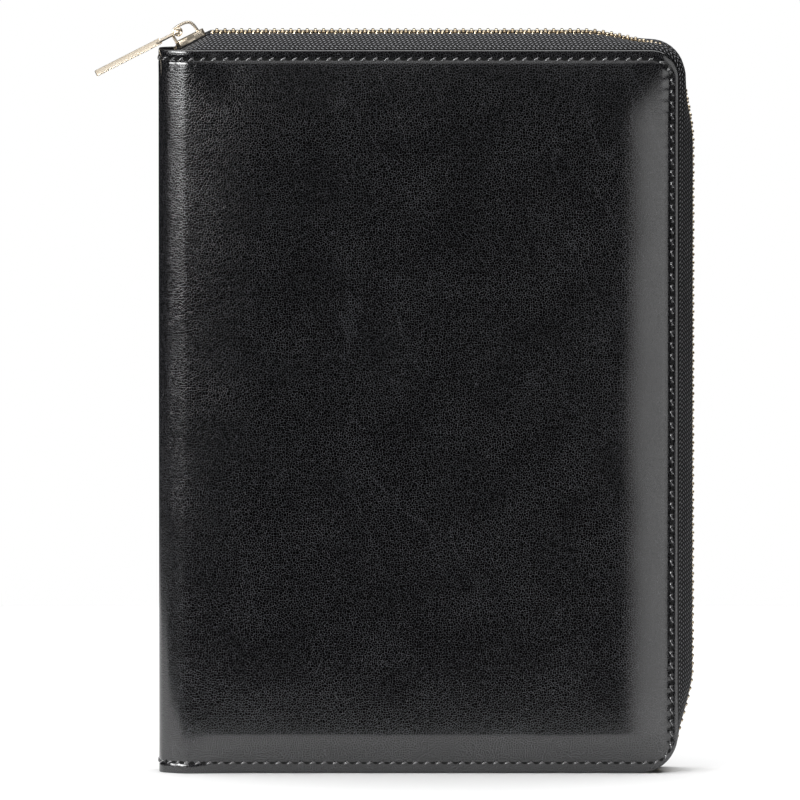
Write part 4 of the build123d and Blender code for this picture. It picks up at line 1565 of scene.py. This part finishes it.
class Inside:
    """Linings, pockets, pen loop and writing pad.

    LEVEL is how far a lining's inner face lies from the middle plane; STEP lifts each pocket off
    the one below it. CARDS gives the height of each card pocket.
    """

    LEVEL = 9.8
    STEP = 0.9
    CARDS = {"card_pocket_upper": 82.0, "card_pocket_middle": 68.0, "card_pocket_lower": 54.0}

    def panels(self) -> list[Panel]:
        """Every flat soft piece inside the case.

        Returns:
            The pieces, linings first.
        """
        found = []
        x, y = (1.0, 0.0, 0.0), (0.0, 1.0, 0.0)
        into_front, into_back = (0.0, 1.0, 0.0), (0.0, -1.0, 0.0)
        for side, way in ((Side.FRONT, into_front), (Side.BACK, into_back)):
            found.append(Panel(f"{side.tag}_lining_cloth", f"{side.tag}_lining", side.body, "lining",
                               (4.9, side.value * self.LEVEL, 1.0), x, way, width=166.1, height=238.0, thickness=0.6,
                               right_radius=8.0, left_radius=1.5, low_radius=12.5))
        found.append(Panel("spine_lining_cloth", "spine_lining", "spine", "lining", (3.0, -9.4, 1.0), y, x,
                           width=18.8, height=238.0, thickness=0.6, right_radius=1.5, left_radius=1.5))
        level = self.LEVEL - self.STEP
        found.append(Panel("document_pocket_skin", "document_pocket", "front_cover", "pocket_leather",
                           (20.0, -level, 8.0), x, into_front, width=144.0, height=168.0, thickness=0.7,
                           right_radius=3.0, left_radius=3.0, bulge=0.15, sewn=True))
        for k, (node, height) in enumerate(self.CARDS.items()):
            place = (42.0, -(level - self.STEP * (k + 1)), 22.0)
            found.append(Panel(node + "_skin", node, "front_cover", "pocket_leather", place, x, into_front,
                               width=100.0, height=height, thickness=0.7, bulge=0.1, sewn=True))
        found.append(Panel("pad_pocket_skin", "pad_pocket", "back_cover", "pocket_leather", (15.0, 7.9, 8.9), x,
                           into_back, width=155.0, height=197.1, thickness=0.62, right_radius=3.0, left_radius=3.0,
                           sewn=True))
        return found

    def pen_loop(self, material: bpy.types.Material) -> None:
        """A loop of pocket leather, open above and below.

        Args:
            material: finish.
        """
        middle, radius, foot, height, wall = 9.2, 6.2, 150.0, 22.0, 0.9
        sheet = Sheet(math.tau * radius, height, wall, 0.0, 0.0, rolled_left=False, rim=4.0, fine=0.8, coarse=2.0)
        a, b, depth = sheet.pattern(np.linspace(0, math.tau * radius, 49))
        turn = a / radius + math.pi
        r = radius - depth
        points = np.stack([middle + r * np.cos(turn), r * np.sin(turn), foot + b], axis=-1).reshape(-1, 3)
        flat = np.stack([a.ravel(), b.ravel()], axis=-1)
        made = make_object("pen_loop_skin", points, grid_faces(*a.shape), material, flat)
        dress(made, "spine", "pen_loop")

    def binding(self, material: bpy.types.Material) -> None:
        """Cloth strip folded over the head of the pad.

        Args:
            material: finish.
        """
        low, high = (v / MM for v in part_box("pad_binding"))
        left, width = low.x - SPINE_X, high.x - low.x
        front, back, foot, top = low.y, high.y, low.z, high.z
        bend, quarter = 0.9, np.linspace(0, math.pi / 2, 6)
        line = [(front, foot)]
        line += [(front + bend - bend * math.cos(t), top - bend + bend * math.sin(t)) for t in quarter]
        line += [(back - bend + bend * math.sin(t), top - bend + bend * math.cos(t)) for t in quarter]
        line = np.array(line + [(back, foot)])
        runs = run_lengths(line)
        columns = np.linspace(0, width, 60)
        points = np.array([(left + a, y, z) for (y, z) in line for a in columns])
        flat = np.array([(a, v) for v in runs for a in columns])
        made = make_object("pad_binding_cloth", points, grid_faces(len(line), len(columns)), material, flat)
        dress(made, "writing_pad", "pad_binding")

    def build(self, scatter: Scatter, stitch: bpy.types.Object, thread: bpy.types.Material) -> None:
        """Everything inside the case.

        Args:
            scatter: tree that sets the stitches.
            stitch: one stitch.
            thread: finish of the thread.
        """
        skins = {"lining": LINING.material(), "pocket_leather": POCKET.material()}
        sewn = {}
        for panel in self.panels():
            panel.build(skins[panel.slot])
            if panel.sewn:
                sewn.setdefault(panel.body, []).append(panel.seam())
        for body, rows in sewn.items():
            points, outward, along = (np.concatenate(part) for part in zip(*rows))
            made = scatter.place(f"pocket_stitches_{body}", points, outward, along, stitch, thread)
            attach(made, body)
        self.pen_loop(skins["pocket_leather"])
        self.binding(CLOTH.material())
        low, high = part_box("pad_sheets")
        paper = PaperFinish("paper", face_y=low.y, first_rule=low.z + 0.012, last_rule=high.z - 0.03).material()
        repaint("pad_sheets", paper)
        repaint("pad_backboard", PAD_BOARD.material())
        board = BOARD.material()
        for node in ("front_board", "back_board", "spine_board"):
            repaint(node, board)


@dataclass(frozen=True)
class Card:
    """A soft glowing panel; radiance is what a mirror of it would show, fading to one or both sides."""

    name: str
    place: tuple[float, float, float]
    aim: tuple[float, float, float]
    width: float
    height: float
    radiance: float
    fade_left: float = 0.01
    fade_right: float = 0.01
    fade_low: float = 0.01
    low_power: float = 1.0

    def build(self) -> bpy.types.Object:
        """Add the panel to the scene, out of the camera's sight.

        Returns:
            The panel.
        """
        material, tree = start_material(self.name)
        parts = put(tree, "ShaderNodeSeparateXYZ", {0: put(tree, "ShaderNodeTexCoord").outputs["Object"]})
        x, y, level = self.width / 2, self.height / 2, self.radiance
        for axis, start, reach, power in (("X", -x, self.fade_left, 1.0), ("X", x, -self.fade_right, 1.0),
                                          ("Y", -y, self.fade_low, self.low_power)):
            share = put(tree, "ShaderNodeMapRange", {"Value": parts.outputs[axis], "From Min": start,
                                                     "From Max": start + reach}, interpolation_type="SMOOTHSTEP")
            bent = put(tree, "ShaderNodeMath", {0: share, 1: power}, operation="POWER")
            level = put(tree, "ShaderNodeMath", {0: bent, 1: level}, operation="MULTIPLY")
        light = put(tree, "ShaderNodeEmission", {"Strength": level})
        dark = put(tree, "ShaderNodeEmission", {"Strength": 0.0})
        back = put(tree, "ShaderNodeNewGeometry").outputs["Backfacing"]
        mixed = put(tree, "ShaderNodeMixShader", {0: back, 1: light, 2: dark})
        put(tree, "ShaderNodeOutputMaterial", {"Surface": mixed})
        mesh = bpy.data.meshes.new(self.name)
        mesh.from_pydata([(-x, -y, 0), (x, -y, 0), (x, y, 0), (-x, y, 0)], [], [(0, 1, 2, 3)])
        mesh.materials.append(material)
        card = link_object(self.name, mesh)
        card.location = self.place
        card.rotation_euler = (Vector(self.aim) - Vector(self.place)).to_track_quat("Z", "Y").to_euler()
        card.visible_camera = False
        return card


@dataclass(frozen=True)
class Lamp:
    """A rectangular soft box; radiance is what a mirror of it would show."""

    name: str
    place: tuple[float, float, float]
    aim: tuple[float, float, float]
    width: float
    height: float
    radiance: float

    def build(self) -> bpy.types.Object:
        """Add the lamp to the scene, out of the camera's sight.

        Returns:
            The lamp.
        """
        data = bpy.data.lights.new(self.name, "AREA")
        data.shape = "RECTANGLE"
        data.size, data.size_y = self.width, self.height
        data.energy = 4 * self.width * self.height * self.radiance
        lamp = link_object(self.name, data)
        lamp.location = self.place
        lamp.rotation_euler = (Vector(self.aim) - Vector(self.place)).to_track_quat("-Z", "Y").to_euler()
        lamp.visible_camera = False
        return lamp


class Studio:
    """Pale floor, white surroundings, soft lights and the camera, in metres.

    ROOM is the radiance of the room outside the lights; AIM, PITCH in degrees, DISTANCE and VIEW,
    the width seen at that distance, set the camera.
    """

    LAMPS = (
        Lamp("overhead", (-0.03, 0.20, 1.5), (-0.02, 0.10, 0.0), 2.0, 1.5, 3.3),
    )
    CARDS = (
        Card("front_top", (-0.15, -1.0, 0.90), (-0.05, 0.0, 0.2), 1.2, 1.05, 0.95,
             fade_left=0.2, fade_right=0.2, fade_low=0.5),
        Card("left_panel", (-0.8555, -0.979, 0.27), (0.0, 0.0, 0.27), 1.553, 0.36, 24.0,
             fade_left=0.52, fade_right=0.45, fade_low=0.3, low_power=1.8),
        Card("right_panel", (0.594, -1.156, 0.02), (0.0, 0.0, 0.02), 0.855, 0.56, 1.45,
             fade_left=0.05, fade_right=0.25, fade_low=0.05),
    )
    FLOOR = ((-0.6, -0.12, 0), (0.8, -0.12, 0), (0.8, 0.6, 0), (-0.6, 0.6, 0))
    ROOM = 0.025
    AIM = (0.0018, 0.0, 0.1232)
    PITCH = 4.5
    DISTANCE = 6.0
    VIEW = 0.2652
    SENSOR_MM = 36.0

    def build(self) -> None:
        """Build the whole studio."""
        bpy.context.scene.view_settings.view_transform = "Standard"
        [light.build() for light in self.LAMPS + self.CARDS]
        self.floor()
        self.surroundings()
        self.camera()

    def floor(self) -> None:
        """A pale floor, ending a little way in front of the case."""
        material, tree = start_material("floor")
        paint = put(tree, "ShaderNodeBsdfPrincipled", {"Base Color": linear("#f6f6f6"), "Roughness": 0.9,
                                                       "Specular IOR Level": 0.1})
        put(tree, "ShaderNodeOutputMaterial", {"Surface": paint})
        mesh = bpy.data.meshes.new("floor")
        mesh.from_pydata(self.FLOOR, [], [(0, 1, 2, 3)])
        mesh.materials.append(material)
        link_object("floor", mesh)

    def surroundings(self) -> None:
        """White for the camera, a dim grey room for everything else."""
        space = bpy.data.worlds.new("room")
        bpy.context.scene.world = space
        space.use_nodes = True
        tree = space.node_tree
        tree.nodes.clear()
        seen = put(tree, "ShaderNodeLightPath").outputs["Is Camera Ray"]
        room = put(tree, "ShaderNodeBackground", {"Color": linear("#ffffff"), "Strength": self.ROOM})
        white = put(tree, "ShaderNodeBackground", {"Color": linear("#ffffff"), "Strength": 1.0})
        mixed = put(tree, "ShaderNodeMixShader", {0: seen, 1: room, 2: white})
        put(tree, "ShaderNodeOutputWorld", {"Surface": mixed})

    def camera(self) -> None:
        """A long lens from a little above, as in the photograph."""
        aim, pitch = Vector(self.AIM), math.radians(self.PITCH)
        data = bpy.data.cameras.new("camera")
        data.sensor_width = self.SENSOR_MM
        data.lens = self.SENSOR_MM * self.DISTANCE / self.VIEW
        eye = link_object("camera", data)
        eye.location = aim + self.DISTANCE * Vector((0, -math.cos(pitch), math.sin(pitch)))
        eye.rotation_euler = (aim - eye.location).to_track_quat("-Z", "Y").to_euler()
        bpy.context.scene.camera = eye


def main() -> None:
    """Build the padfolio in order."""
    logging.basicConfig(level=logging.INFO, format="%(message)s")
    scatter = Scatter()
    leather = OUTER.material()
    thread = THREAD.material()
    stitch = small_piece("stitch", stitch_shape)
    hole = small_piece("hole", hole_shape)
    sizes = CoverSizes()
    covers = [Cover(side, sizes) for side in Side]
    for cover in covers:
        cover.build(leather)
    # The needle holes are dark discs of painted shade, set in the seam between the stitches.
    seams = (("stitches", stitch, thread, 0.5, 0.10), ("needle_holes", hole, PAINTED_HOLE_SHADE.material(), 0.0, 0.2))
    for name, piece, finish, first, lift in seams:
        rows = {}
        for cover in covers:
            for body, row in cover.row(first, lift).items():
                rows.setdefault(body, []).append(row)
        for body, parts in rows.items():
            made = scatter.place(f"{name}_{body}", *[np.concatenate(part) for part in zip(*parts)], piece, finish)
            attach(made, body)
    Zipper(sizes, ZipSizes()).build(scatter)
    Slider(SliderSizes()).build()
    Inside().build(scatter, stitch, thread)
    Studio().build()


if __name__ == "__main__":
    main()
